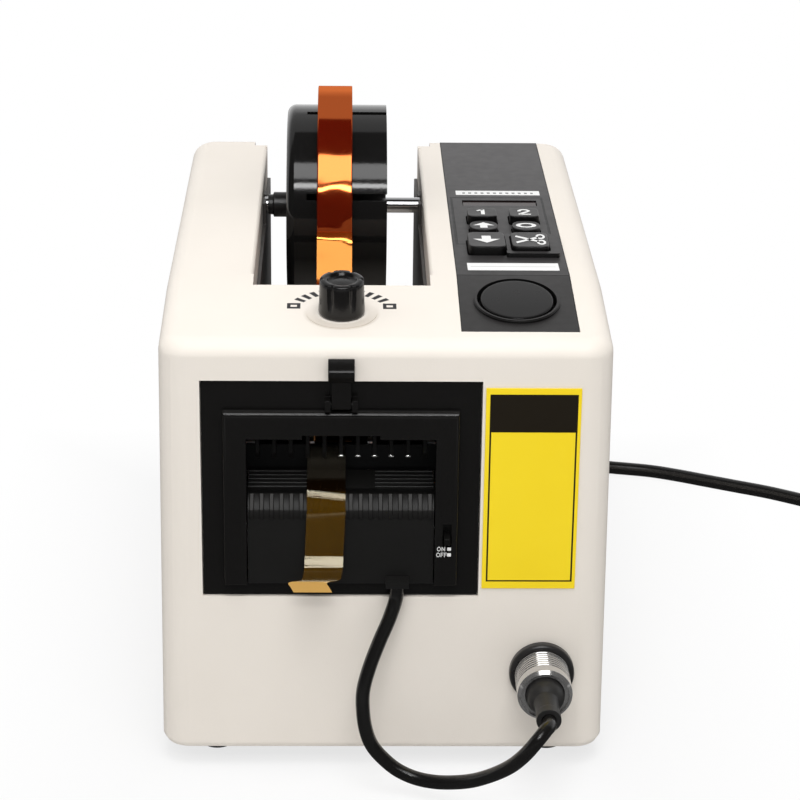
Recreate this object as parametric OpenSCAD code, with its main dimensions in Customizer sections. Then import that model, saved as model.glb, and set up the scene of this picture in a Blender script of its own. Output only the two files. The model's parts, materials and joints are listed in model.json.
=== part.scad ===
// Electric tape dispenser: a desk machine that feeds tape from an open reel and cuts it to length.
// Millimetres. X runs left to right, Y runs from the front to the back, Z runs up.
// The origin is on the table, under the middle of the housing.

/* [Housing] */
// Width of the housing at its top edge
body_w = 140; // [136:1:160]
// Length of the housing from front to back
body_l = 213; // [205:1:250]
// Height of the housing from its bottom edge to the top of the arms
body_h = 144.3; // [142:0.1:160]
// How much wider each side is at the bottom than at the top
side_draft = 1.1; // [0:0.1:3]
// Radius of the upright corners
corner_r = 9; // [6.5:0.5:14]
// Radius of the top edges
top_r = 6; // [3:0.5:6.5]
// Thickness of the housing wall
wall = 3; // [2.5:0.1:3.4]
// Length of the sloping front deck
deck_l = 50.3; // [48:0.1:54]
// Fall of the front deck, in degrees
deck_slope = 6.2; // [3:0.1:7]
// Thickness of the bottom plate
base_t = 3; // [2:0.5:5]
// Height of the rubber feet
foot_h = 6.7; // [5:0.1:9]
// Height of the housing's lower rim over the line that other heights are measured from
rim_h = 3.7; // [2:0.1:5]
// Diameter of the rubber feet
foot_d = 12; // [8:0.5:16]

/* [Reel gap] */
// Sideways place of the tape line: reel, outlet and knob are centred on it
line_x = -13.75; // [-15:0.25:-12]
// Width of the gap between the two arms
gap_w = 56.5; // [54:0.5:58]
// Distance of the front wall of the gap from the front face
gap_front = 42; // [41:0.5:46]
// Height of the gap's floor above the housing's bottom edge
gap_floor = 52; // [44:1:54]
// Width of the step at the rear end of each arm
step_w = 4.7; // [3.2:0.1:6]
// Length of that step
step_l = 10; // [4:0.5:14]
// Radius of the gap's top edges
edge_r = 1.5; // [0.5:0.1:2.5]
// Thickness of the dark axle holder plates on the gap's walls
holder_t = 1.2; // [0.8:0.1:1.6]
// Height of the cream lip left above the holder plates
holder_drop = 12; // [9:0.5:18]

/* [Reel] */
// Distance of the reel axle behind the front face
axle_back = 150; // [145:1:155]
// Depth of the axle's centre under the top of the arms
axle_drop = 7; // [5:0.5:8]
// Diameter of the axle rod
axle_d = 5.5; // [4:0.5:6.5]
// Radius of the reel drum
drum_r = 35.6; // [30:0.1:37]
// Width of the reel drum
drum_w = 34.8; // [30:0.1:36]
// Gap between the left wall and the drum
drum_in = 8.9; // [8:0.1:11]
// Thickness of the drum's skin
drum_t = 2.5; // [1.5:0.1:4]
// Thickness of the tape's core ring
core_t = 2.5; // [1.5:0.1:3]
// Outer radius of the tape on its core
roll_r = 42.25; // [41:0.25:44]
// Width of the tape
tape_w = 12; // [9:0.1:19]
// Distance of the tape's middle left of the tape line
tape_off = 2.6; // [0:0.1:4]
// Thickness of the tape film as a solid
film_t = 0.3; // [0.2:0.05:0.4]

/* [Control panel] */
// Distance of the panel's middle from the housing's right side
panel_side = 28.7; // [27.5:0.1:29]
// Width of the control panel
panel_w = 36.6; // [35:0.1:38]
// Thickness of the panel plates
panel_t = 2; // [1.5:0.1:2.4]
// Distance of the panel's ends from the front and rear edges of the housing top
panel_margin = 8.8; // [8:0.1:11]
// Sideways distance of each key column from the panel's middle
key_dx = 7.2; // [7:0.1:8]
// Height of the keys above the panel
key_h = 3; // [2.5:0.1:4]
// Travel of the keys
key_travel = 1; // [0.5:0.1:1.2]
// Gap round the keys
key_gap = 0.35; // [0.3:0.05:0.5]
// Width of the oval start button
start_w = 23; // [20:0.1:24]
// Length of the start button along the deck
start_l = 28; // [24:0.1:30]
// Travel of the start button
start_travel = 2; // [1:0.1:2.5]
// Height of the ring round the start button
start_ring_h = 1; // [0.6:0.1:3]
// Diameter of the speed knob
knob_d = 14.5; // [12:0.5:18]
// Height of the speed knob
knob_h = 11.6; // [10:0.1:16]
// Diameter of the potentiometer's shaft
pot_shaft_d = 6; // [4:0.5:6]

/* [Cutter outlet] */
// Width of the outlet frame in the front face
frame_w = 86.2; // [85:0.1:90]
// Height of the outlet frame
frame_h = 72; // [71:0.1:76]
// Drop of the frame's bottom edge under the housing's top
frame_drop = 89.9; // [88:0.1:91]
// Depth of the frame's face behind the front face
frame_in = 1; // [0.5:0.1:1.2]
// Thickness of the frame plate
frame_t = 2.5; // [2:0.1:3]
// How far the bezel stands out of the frame plate
bezel_t = 3; // [2:0.1:4]
// Width of the bezel
bezel_w = 73.1; // [72:0.1:76]
// Height of the bezel
bezel_h = 58.3; // [57:0.1:60]
// Width of the bezel's columns beside the mouth
column_w = 7.25; // [6:0.05:8]
// Number of fins on the upper guide comb
comb_n = 11; // [7:1:12]
// Number of upright ribs on the outlet's lip
lip_n = 19; // [9:1:27]
// Drop of the tape's path under the housing's top
path_drop = 44; // [43:0.5:45]
// Radius of the lip at the front of the tray
lip_r = 7; // [5:0.5:8]

/* [Feed and cut] */
// Radius of the feed rollers
roller_r = 6.8; // [6:0.1:7]
// Diameter of the roller shafts
shaft_d = 5; // [4:0.5:5.5]
// Depth of the roller shafts behind the front face
roller_back = 27; // [26:0.5:28]
// Thickness of the cutter's side plates
side_t = 2; // [1.5:0.1:2.5]
// Width of the gears
gear_w = 4; // [3:0.1:5]
// Diameter of the two motors
motor_d = 20; // [16:0.5:20]
// Stroke of the moving blade
blade_travel = 5; // [3:0.5:5.5]
// Thickness of the blades
blade_t = 0.8; // [0.6:0.1:1]
// Running clearance of shafts in their bores
run_gap = 0.05; // [0.02:0.01:0.08]

/* [Connector and leads] */
// Diameter of the black connector flange
socket_d = 20.8; // [19:0.1:22]
// Diameter of the chrome coupling ring
ring_d = 17.4; // [16:0.1:18]
// Length of the coupling ring
ring_l = 14.6; // [12:0.1:18]
// Diameter of the cutter's cable
cable_d = 4.5; // [4:0.1:5]
// Diameter of the mains cord
cord_d = 5.2; // [5:0.1:5.4]

/* [Hidden] */
$fn = 48;
hull_fn = 32;
eps = 0.01;
slack = 0.3;

// Places along the machine: distance behind the front face, height over the measuring line
// and height over the rim
function fy(back) = back - body_l / 2;
function hz(up) = foot_h - rim_h + up;
function bz(up) = foot_h + up;
rear_y = body_l / 2;
top_z = bz(body_h);
function deck_z(back) = top_z - (deck_l - back) * tan(deck_slope);

// Reel gap
gap_x0 = line_x - gap_w / 2;
gap_x1 = line_x + gap_w / 2;
axle_y = fy(axle_back);
axle_z = top_z - axle_drop;
slot_w = axle_d + 0.6;
lip_z = top_z - holder_drop;
holder_end = step_l + 2;
holder_ear = 8;

// Reel
drum_x0 = gap_x0 + drum_in;
core_r = drum_r + 0.1;
tape_x = line_x - tape_off;
hub_r = axle_d / 2 + 3.5;

// Outlet and cutter
ledge_back = frame_in + frame_t;
ledge_t = 2.5;
ledge_in = 3;
ledge_out = 4;
frame_z = body_h + rim_h - frame_drop;
path_h = body_h + rim_h - path_drop;
bezel_z = frame_z + 4.5;
mouth_top = bezel_z + bezel_h - 9.1;
mouth_w = bezel_w - 2 * column_w;
plate_x = mouth_w / 2 + 1;
nip = film_t + 0.3;
roller_teeth = 20;
idler_teeth = 22;
pinion_teeth = 12;
gear_m = 2 * (roller_r + nip / 2) / roller_teeth;
function pitch_r(teeth) = teeth * gear_m / 2;
lower_h = path_h - roller_r - nip / 2;
upper_h = path_h + roller_r + nip / 2;
idler_reach = pitch_r(roller_teeth) + pitch_r(idler_teeth);
idler_turn = 260;
idler_back = roller_back + idler_reach * cos(idler_turn);
idler_h = lower_h + idler_reach * sin(idler_turn);
motor_reach = pitch_r(idler_teeth) + pitch_r(pinion_teeth);
motor_turn = 248;
motor_back = idler_back + motor_reach * cos(motor_turn);
motor_h = idler_h + motor_reach * sin(motor_turn);
motor_l = plate_x - 3;
gear_x = plate_x + side_t + 0.6;
blade_back = 14;
blade_gap = 0.2;
tail_back = blade_back - 0.8;
lead_back = blade_back + 2.4;
tray_back = blade_back - 0.6;

// Control panel
panel_x = body_w / 2 - panel_side;
panel_x0 = panel_x - panel_w / 2;
panel_front = panel_margin;
panel_rear = body_l - panel_margin / 2;
panel_ledge = 3;
board_drop = 9;
pad_d = 22;
pad_in = 3;
knob_back = 21.5;
pad_rise = 0.2;
start_back = 30.5;
start_y = -(deck_l - start_back) / cos(deck_slope);

module box_at(x0, x1, y0, y1, z0, z1) {
    translate([x0, y0, z0]) cube([x1 - x0, y1 - y0, z1 - z0]);
}

module rod_x(x0, x1, y, z, d) {
    translate([x0, y, z]) rotate([0, 90, 0]) cylinder(d = d, h = x1 - x0);
}

module rod_y(x, y0, y1, z, d) {
    translate([x, y0, z]) rotate([-90, 0, 0]) cylinder(d = d, h = y1 - y0);
}

module rod_z(x, y, z0, z1, d) {
    translate([x, y, z0]) cylinder(d = d, h = z1 - z0);
}

// Frame of the sloping deck: the bend line is its X axis and the deck's outward normal its Z axis
module on_deck() {
    translate([0, fy(deck_l), top_z]) rotate([deck_slope, 0, 0]) children();
}

// Place of the speed knob, square to the sloping deck
module on_knob() {
    translate([line_x, fy(knob_back), deck_z(knob_back)]) rotate([deck_slope, 0, 0]) children();
}

// Outline lying in the Y-Z plane, drawn out along X
module across(x0, x1) {
    translate([x0, 0, 0]) rotate([90, 0, 90]) linear_extrude(x1 - x0) children();
}

// Disc with a rounded rim, used at the housing's corners
module rim_disc(r, edge) {
    rotate_extrude($fn = hull_fn) intersection() {
        union() {
            translate([r - edge, 0]) circle(edge, $fn = hull_fn);
            translate([0, -edge]) square([max(r - edge, eps), 2 * edge]);
        }
        translate([0, -edge]) square([r, 2 * edge]);
    }
}

// Outer form of the housing, drawn in by inset for the inside of its walls
module body_form(inset, low = 0) {
    r = corner_r - inset;
    edge = max(min(top_r, corner_r) - inset, 1);
    low_x = body_w / 2 + side_draft - corner_r;
    top_x = body_w / 2 - corner_r;
    end_y = body_l / 2 - corner_r;
    rise = top_z - inset - edge;
    front_z = deck_z(corner_r) - (inset + edge) / cos(deck_slope);
    hull() {
        for (side = [-1, 1]) {
            for (end = [-1, 1])
                translate([side * low_x, end * end_y, foot_h - low]) {
                    cylinder(r = r - 1.2, h = 1, $fn = hull_fn);
                    translate([0, 0, 2]) cylinder(r = r, h = 1, $fn = hull_fn);
                }
            translate([side * top_x, end_y, rise]) rim_disc(r, edge);
            translate([side * (body_w / 2 - inset - edge), fy(deck_l), rise]) sphere(edge, $fn = hull_fn);
            translate([side * top_x, -end_y, front_z]) rotate([deck_slope, 0, 0]) rim_disc(r, edge);
        }
    }
}

// Room of the reel gap with its stepped rear mouth, grown by the wall it needs round it
module gap_room(grow) {
    box_at(gap_x0 - grow, gap_x1 + grow, fy(gap_front - grow), rear_y + 1, hz(gap_floor - grow), top_z + 1);
    box_at(gap_x0 - step_w - grow, gap_x1 + step_w + grow, rear_y - step_l - grow, rear_y + 1,
        hz(gap_floor - grow), top_z + 1);
}

// Waste cut from a straight edge to round it: a square corner with a quarter circle left standing
module edge_waste(r) {
    difference() {
        translate([-eps, -eps]) square(r + eps);
        translate([r, r]) circle(r);
    }
}

// Rounded top edges along both walls and the front wall of the gap
module gap_edges() {
    for (side = [-1, 1])
        translate([side > 0 ? gap_x1 : gap_x0, rear_y - step_l - 2, top_z])
            mirror([side > 0 ? 0 : 1, 0, 0]) rotate([90, 0, 0])
                linear_extrude(body_l - deck_l - step_l - 2) mirror([0, 1]) edge_waste(edge_r);
}

module panel_slot(inset, depth, over = 1) {
    x0 = panel_x0 + inset;
    x1 = panel_x0 + panel_w - inset;
    box_at(x0, x1, fy(deck_l), fy(panel_rear) - inset, top_z - depth, top_z + over);
    on_deck() box_at(x0, x1, -(deck_l - panel_front) / cos(deck_slope) + inset, 0, -depth, over);
}

// Connector, gland and rear switch places
socket_side = 19.5;
socket_x = body_w / 2 - socket_side;
socket_h = 31.6;
socket_hole = 16.4;
gland_side = 48;
gland_x = body_w / 2 - gland_side;
gland_h = 24;
gland_hole = 9;
switch_side = 22;
switch_x = body_w / 2 - switch_side;
switch_h = 32;
switch_w = 13;
switch_l = 19.5;
boss_x = body_w / 2 + side_draft - wall - 4;
boss_y = body_l / 2 - wall - 14;
boss_d = 10;
boss_h = 26;
screw_d = 3;
latch_w = 8.1;
latch_nose = 2.6;
nose_w = 5;
nose_t = 2;
catch_gap = 0.9;
nose_h = frame_z + frame_h + 3.4;
foot_x = body_w / 2 - 16;
foot_back = 17;

module main_housing() {
    color("#e6dfd2") difference() {
        union() {
            difference() {
                body_form(0);
                difference() {
                    body_form(wall, 4);
                    gap_room(wall);
                }
            }
            box_at(line_x - frame_w / 2 - ledge_out, line_x + frame_w / 2 + ledge_out, fy(wall - eps),
                fy(ledge_back + ledge_t), hz(frame_z - ledge_out), hz(frame_z + frame_h + ledge_out));
            on_knob() rod_z(0, 0, -wall - pad_in, pad_rise, pad_d);
            for (side = [-1, 1], end = [-1, 1])
                rod_z(side * boss_x, end * boss_y, bz(base_t), bz(boss_h), boss_d);
        }
        gap_room(0);
        gap_edges();
        panel_slot(0, panel_t);
        panel_slot(panel_ledge, wall + 3);
        // Seat of the outlet frame and the way through it for the cutter
        box_at(line_x - frame_w / 2 - slack, line_x + frame_w / 2 + slack, fy(-1), fy(ledge_back),
            hz(frame_z) - slack, hz(frame_z + frame_h) + slack);
        box_at(line_x - frame_w / 2 + ledge_in, line_x + frame_w / 2 - ledge_in, fy(0),
            fy(ledge_back + ledge_t + 1), hz(frame_z + ledge_in), hz(frame_z + frame_h - ledge_in));
        // Catch hole of the latch
        box_at(line_x - nose_w / 2 - catch_gap, line_x + nose_w / 2 + catch_gap,
            fy(-1), fy(wall + ledge_t + 1),
            hz(nose_h) - nose_t / 2 - catch_gap, hz(nose_h) + nose_t / 2 + catch_gap);
        // Tape inlet in the front wall of the gap
        box_at(line_x - mouth_w / 2, line_x + mouth_w / 2, fy(gap_front - wall - 1), fy(gap_front + 1),
            hz(path_h - 4), hz(path_h + 12));
        on_knob() rod_z(0, 0, -wall - 8, pad_rise + 1, pot_shaft_d + 3);
        rod_y(socket_x, fy(-1), fy(wall + 1), hz(socket_h), socket_hole);
        rod_y(gland_x, rear_y - wall - 1, rear_y + 1, hz(gland_h), gland_hole);
        box_at(switch_x - switch_w / 2, switch_x + switch_w / 2, rear_y - wall - 1, rear_y + 1,
            hz(switch_h - switch_l / 2), hz(switch_h + switch_l / 2));
        for (side = [-1, 1], end = [-1, 1])
            rod_z(side * boss_x, end * boss_y, bz(-1), bz(boss_h - 8), screw_d + 0.1);
    }
}

module base_plate() {
    color("#8d8a84") difference() {
        intersection() {
            body_form(wall + slack, 4);
            box_at(-body_w, body_w, -body_l, body_l, bz(0), bz(base_t));
        }
        for (side = [-1, 1], end = [-1, 1]) {
            rod_z(side * boss_x, end * boss_y, 0, bz(base_t + 1), screw_d + 0.4);
            rod_z(side * boss_x, end * boss_y, 0, bz(1.2), 6.4);
        }
    }
}

module rubber_feet() {
    color("#2b2b2b") for (side = [-1, 1], end = [-1, 1])
        translate([side * foot_x, end * (body_l / 2 - foot_back), 0]) rotate_extrude() difference() {
            square([foot_d / 2, foot_h]);
            translate([foot_d / 2, 0]) rotate(45) square(1.4, center = true);
        }
}

module base_screws() {
    color("silver") for (side = [-1, 1], end = [-1, 1]) {
        rod_z(side * boss_x, end * boss_y, bz(0.1), bz(1.2), 5.6);
        rod_z(side * boss_x, end * boss_y, bz(1.2) - eps, bz(base_t + 9), screw_d);
    }
}

// Dark plate on a wall of the gap, with an ear that carries the axle in an open slot
module axle_holder(x0) {
    difference() {
        union() {
            box_at(x0, x0 + holder_t, fy(gap_front) + slack, rear_y - holder_end, hz(gap_floor), lip_z);
            box_at(x0, x0 + holder_t, axle_y - holder_ear, axle_y + holder_ear, lip_z - eps,
                axle_z + axle_d / 2);
        }
        box_at(x0 - 1, x0 + holder_t + 1, axle_y - slot_w / 2, axle_y + slot_w / 2, axle_z, top_z);
        rod_x(x0 - 1, x0 + holder_t + 1, axle_y, axle_z, slot_w);
    }
}

module axle_holder_left() {
    color("#3a3836") axle_holder(gap_x0);
}

module axle_holder_right() {
    color("#3a3836") axle_holder(gap_x1 - holder_t);
}

module reel_axle() {
    color("#d5d5d5") rod_x(gap_x0 + slack, gap_x1 - slack, axle_y, axle_z, axle_d);
}

module axle_collar() {
    collar_d = 8.9;
    color("#232323") translate([drum_x0 - 0.2, axle_y, axle_z]) rotate([0, -90, 0]) rotate_extrude() {
        translate([axle_d / 2, 0]) square([(collar_d - axle_d) / 2, 5]);
        translate([axle_d / 2, 0]) square([(collar_d - axle_d) / 4, drum_in - holder_t - 0.8]);
    }
}

// Open drum: a skin split into spring fingers, a web with a rounded rim, and a hub that runs on the axle
module reel_drum() {
    rim_r = 3;
    web_t = 3;
    slot_n = 6;
    slot_turn = 9;
    slot_open = 2.4;
    color("#262626") translate([drum_x0, axle_y, axle_z]) rotate([0, 90, 0]) difference() {
        rotate_extrude($fn = 96) difference() {
            square([drum_r, drum_w]);
            translate([hub_r, web_t]) square([drum_r - drum_t - hub_r, drum_w]);
            translate([-1, -1]) square([1 + axle_d / 2 + run_gap, drum_w + 2]);
            translate([drum_r, 0]) mirror([1, 0]) edge_waste(rim_r);
        }
        for (i = [0 : slot_n - 1])
            rotate(360 / slot_n * i + slot_turn)
                translate([drum_r - drum_t - 1, -slot_open / 2, web_t + 4])
                    cube([drum_t + 2, slot_open, drum_w]);
    }
}

module tape_core() {
    color("#c9b48c") translate([tape_x - tape_w / 2, axle_y, axle_z]) rotate([0, 90, 0])
        rotate_extrude($fn = 96) translate([core_r, 0]) square([core_t, tape_w]);
}

module tape_roll() {
    color("#8a4a1c") translate([tape_x - tape_w / 2, axle_y, axle_z]) rotate([0, 90, 0])
        rotate_extrude($fn = 96) translate([core_r + core_t, 0]) square([roll_r - core_r - core_t, tape_w]);
}

// Flat film carried along a list of points in the Y-Z plane, drawn out across its width
module film(points, x0, x1) {
    function unit(v) = v / norm(v);
    function side(i) = let (
        a = points[max(i - 1, 0)],
        b = points[min(i + 1, len(points) - 1)],
        t = unit(b - a)
    ) [-t[1], t[0]];
    last = len(points) - 1;
    across(x0, x1) polygon(concat(
        [for (i = [0 : last]) points[i] + side(i) * film_t / 2],
        [for (i = [last : -1 : 0]) points[i] - side(i) * film_t / 2]
    ));
}

// Tape from the roll to the blade: it sticks to the roll down to its front, peels off there,
// sags to the inlet and runs through the rollers
module tape_lead() {
    hub = [axle_y, axle_z];
    inlet = [fy(gap_front + 4), hz(path_h + 3.4)];
    peel_r = roll_r + film_t;
    peel_turn = 176;
    peel = hub + peel_r * [cos(peel_turn), sin(peel_turn)];
    slope_end = peel + 19 * [-cos(53), -sin(53)];
    sag_end = [fy(gap_front + 31), hz(path_h + 6)];
    steps = 10;
    function bend(t) = pow(1 - t, 3) * peel + 3 * t * pow(1 - t, 2) * slope_end
        + 3 * t * t * (1 - t) * sag_end + pow(t, 3) * inlet;
    color("#a8602a") film(concat([for (i = [0 : steps]) bend(i / steps)], [
        [fy(roller_back + roller_r), hz(path_h)],
        [fy(lead_back), hz(path_h)]
    ]), tape_x - tape_w / 2, tape_x + tape_w / 2);
}

// Cut strip that lies over the lip and hangs down in front of the outlet
lip_top = bezel_z + 29.6;
lip_mid = lip_r - 1;
tail_x = tape_x - 2;
module tape_tail() {
    over = lip_top + 1;
    color("#b5702f") film([
        [fy(tail_back), hz(path_h - 0.5)],
        [fy(10), hz(path_h - 2.5)],
        [fy(7), hz(over + 4.5)],
        [fy(4), hz(over + 1.4)],
        [fy(1), hz(over - 1.2)],
        [fy(-1.2), hz(over - 4.6)],
        [fy(-2.6), hz(over - 10)],
        [fy(-3.2), hz(over - 16)],
        [fy(-3.7), hz(over - 21)],
        [fy(-4.7), hz(over - 25.5)],
        [fy(-6.4), hz(over - 28.5)]
    ], tail_x - tape_w / 2, tail_x + tape_w / 2);
}

// Keys: size, place along the arm measured from the front face, column and travel height
small_key = [10, 9.8];
oval_key = [9.4, 10.4];
big_key = [12.3, 16];
unit_row = 109.6;
oval_row = 97.7;
big_row = 78.9;
display_row = 130;
display_l = 6.4;
display_w = 26;
post_d = 4;
post_in = 3;
post_rear = 8;
post_front = 12;
board_t = 1.6;
board_in = 0.5;
board_over = 3;
switch_a = 6;
plunger_d = 3.4;
stem_gap = 3.2;

module key_cap(size, col, row, h, oval = false) {
    x = panel_x + col * key_dx;
    stem = board_drop - stem_gap;
    bevel = 0.8;
    translate([x, fy(row), top_z]) {
        translate([0, 0, -stem]) linear_extrude(stem + h - bevel) key_shape(size, 0, oval);
        translate([0, 0, h - bevel - eps]) linear_extrude(bevel) key_shape(size, -bevel * 0.75, oval);
    }
}

module key_shape(size, grow, oval) {
    w = size[0] + 2 * grow;
    l = size[1] + 2 * grow;
    r = oval ? w / 2 - 0.05 : 1.2;
    for (end = [-1, 1])
        translate([0, end * (l / 2 - r)]) {
            translate([-(w / 2 - r), 0]) circle(r);
            translate([w / 2 - r, 0]) circle(r);
            square([w - 2 * r, 2 * r], center = true);
        }
    square([w, l - 2 * r], center = true);
}

module oval_shape(size, grow) {
    w = size[0] / 2 + grow;
    l = size[1] / 2 + grow;
    points_n = 48;
    polygon([for (i = [0 : points_n - 1]) [w * cos(i * 360 / points_n), l * sin(i * 360 / points_n)]]);
}

module key_hole(size, col, row, oval = false) {
    translate([panel_x + col * key_dx, fy(row), top_z - panel_t - 1])
        linear_extrude(panel_t + key_h + 2) key_shape(size, key_gap, oval);
}

module keypad_panel() {
    color("#4a4848") difference() {
        union() {
            box_at(panel_x0 + 0.1, panel_x0 + panel_w - 0.1, fy(deck_l) + 0.1, fy(panel_rear) - 0.1,
                top_z - panel_t, top_z);
            // Raised surround of the cut key
            translate([panel_x + key_dx + 0.6, fy(big_row), top_z - eps]) linear_extrude(1.6)
                key_shape(big_key, 2.6, false);
            // Posts that carry the keypad board
            for (x = [-1, 1], y = [display_row + post_rear, big_row - post_front])
                rod_z(panel_x + x * (panel_w / 2 - panel_ledge - post_in), fy(y), top_z - board_drop,
                    top_z - panel_t + eps, post_d);
        }
        key_hole(small_key, -1, unit_row);
        key_hole(small_key, 1, unit_row);
        key_hole(oval_key, -1, oval_row, true);
        key_hole(oval_key, 1, oval_row, true);
        key_hole(big_key, -1, big_row);
        key_hole(big_key, 1, big_row);
        box_at(panel_x - display_w / 2, panel_x + display_w / 2, fy(display_row - display_l / 2),
            fy(display_row + display_l / 2), top_z - panel_t - 1, top_z + 1);
    }
}

module display_window() {
    color("#2a1416") box_at(panel_x - display_w / 2 + 0.1, panel_x + display_w / 2 - 0.1,
        fy(display_row - display_l / 2) + 0.1, fy(display_row + display_l / 2) - 0.1,
        top_z - board_drop, top_z - 0.4);
}

module cm_key() {
    color("#555250") key_cap(small_key, -1, unit_row, key_h);
}

module mm_key() {
    color("#555250") key_cap(small_key, 1, unit_row, key_h);
}

module up_key() {
    color("#555250") key_cap(oval_key, -1, oval_row, key_h - 1, true);
}

module set_key() {
    color("#555250") key_cap(oval_key, 1, oval_row, key_h - 1, true);
}

module down_key() {
    color("#555250") key_cap(big_key, -1, big_row, key_h);
}

module cut_key() {
    color("#555250") key_cap(big_key, 1, big_row, key_h);
}

// Board under the keys, with a push switch under each key
module keypad_board() {
    board_z = top_z - board_drop;
    plunger = stem_gap - key_travel - slack;
    color("#2f5d3a") {
        box_at(panel_x0 + panel_ledge + board_in, panel_x0 + panel_w - panel_ledge - board_in,
            fy(big_row - post_front - board_over), fy(display_row + post_rear + board_over),
            board_z - board_t, board_z);
        for (row = [unit_row, oval_row, big_row], col = [-1, 1])
            translate([panel_x + col * key_dx, fy(row), board_z - eps]) {
                translate([-switch_a / 2, -switch_a / 2, 0]) cube([switch_a, switch_a, plunger - 0.4]);
                cylinder(d = plunger_d, h = plunger);
            }
    }
}

// Front plate of the control panel, with the raised ring of the start button
start_size = [start_w, start_l];
start_room = 1.1;
start_post = 13;
start_gap = 3;
module button_panel() {
    ring_w = start_room + 1.05;
    ring_edge = start_ring_h * 0.3;
    deep = board_drop + start_travel;
    color("#4a4848") on_deck() difference() {
        union() {
            box_at(panel_x0 + 0.1, panel_x0 + panel_w - 0.1,
                -(deck_l - panel_front) / cos(deck_slope) + 0.1, -0.1, -panel_t, 0);
            translate([panel_x, start_y, -eps]) {
                linear_extrude(start_ring_h - ring_edge) oval_shape(start_size, ring_w);
                linear_extrude(start_ring_h) oval_shape(start_size, ring_w - ring_edge);
            }
            for (x = [-1, 1])
                translate([
                    panel_x + x * (panel_w / 2 - panel_ledge - post_in + 0.6), start_y - start_post, -deep
                ])
                    cylinder(d = post_d, h = deep - panel_t + eps);
        }
        translate([panel_x, start_y, -panel_t - 1])
            linear_extrude(panel_t + start_ring_h + 2) oval_shape(start_size, start_room);
    }
}

module start_button() {
    dome = 0.5;
    groove = 0.4;
    skirt = board_drop - start_gap;
    color("#5c5957") on_deck() translate([panel_x, start_y, -skirt]) {
        linear_extrude(skirt - groove) oval_shape(start_size, start_room - key_gap);
        linear_extrude(skirt + start_ring_h - dome) oval_shape(start_size, 0);
        linear_extrude(skirt + start_ring_h) oval_shape(start_size, -dome);
    }
}

module start_switch() {
    board_z = -board_drop - start_travel;
    half_w = panel_w / 2 - panel_ledge - board_in;
    plunger = start_gap - slack;
    color("#2f5d3a") on_deck() translate([panel_x, start_y, board_z - eps]) {
        box_at(-half_w, half_w, -start_post - board_over, start_post - 1, -board_t, eps);
        translate([-switch_a, -switch_a / 2, 0]) cube([2 * switch_a, switch_a, plunger / 2]);
        cylinder(d = plunger_d, h = plunger);
    }
}

// Both boards of push switches behind the control panel
module switch_boards() {
    keypad_board();
    start_switch();
}

// Speed knob on its shaft, with finger notches round the rim and a pointer groove on top
module speed_knob() {
    notch_n = 12;
    pad_gap = 0.3;
    color("#201f1f") on_knob() translate([0, 0, pad_rise]) difference() {
        union() {
            translate([0, 0, pad_gap]) cylinder(d1 = knob_d, d2 = knob_d - 0.5, h = knob_h - pad_gap);
            translate([0, 0, -9]) cylinder(d = pot_shaft_d, h = 9 + pad_gap + eps);
        }
        for (i = [0 : notch_n - 1])
            rotate(360 / notch_n * i) translate([knob_d / 2 + 0.6, 0, knob_h * 0.35])
                cylinder(d = 2.4, h = knob_h);
        translate([-0.5, 1, knob_h - 0.6]) cube([1, knob_d / 2, 1]);
    }
}

module speed_potentiometer() {
    body_z = -wall - pad_in;
    color("#6a7a80") on_knob() difference() {
        union() {
            rod_z(0, 0, body_z - 9, body_z, 16);
            rod_z(0, 0, body_z - eps, pad_rise - 0.6, pot_shaft_d + 2.6);
        }
        rod_z(0, 0, pad_rise - 9.4, pad_rise + 1, pot_shaft_d + 2 * run_gap);
    }
}

plate_w = 29.4;
plate_h = 67.5;
plate_side = 24.7;
plate_mid = body_w / 2 - plate_side;
plate_z = frame_z + 2.8;
module info_plate() {
    color("#f2d21f") box_at(plate_mid - plate_w / 2, plate_mid + plate_w / 2, fy(-0.4), fy(0), hz(plate_z),
        hz(plate_z + plate_h));
}

// Black plate in the front face, open in the middle for the tray and the guide comb
module outlet_frame() {
    color("#1c1b1b") difference() {
        union() {
            box_at(line_x - frame_w / 2, line_x + frame_w / 2, fy(frame_in), fy(ledge_back), hz(frame_z),
                hz(frame_z + frame_h));
            for (side = [-1, 1])
                translate([line_x + side * (latch_stem + latch_ear + 2 * slack) / 2 - latch_ear / 2, 0, 0])
                    box_at(0, latch_ear, fy(latch_back - latch_ear), fy(frame_in + eps),
                        hz(latch_h - latch_ear), hz(latch_h + latch_ear));
        }
        box_at(line_x - mouth_w / 2, line_x + mouth_w / 2, fy(frame_in - 1), fy(ledge_back + 1),
            hz(bezel_z), hz(mouth_top + 2));
        rod_x(line_x - latch_w, line_x + latch_w, fy(latch_back), hz(latch_h), latch_pin_d + 2 * run_gap);
    }
}

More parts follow.
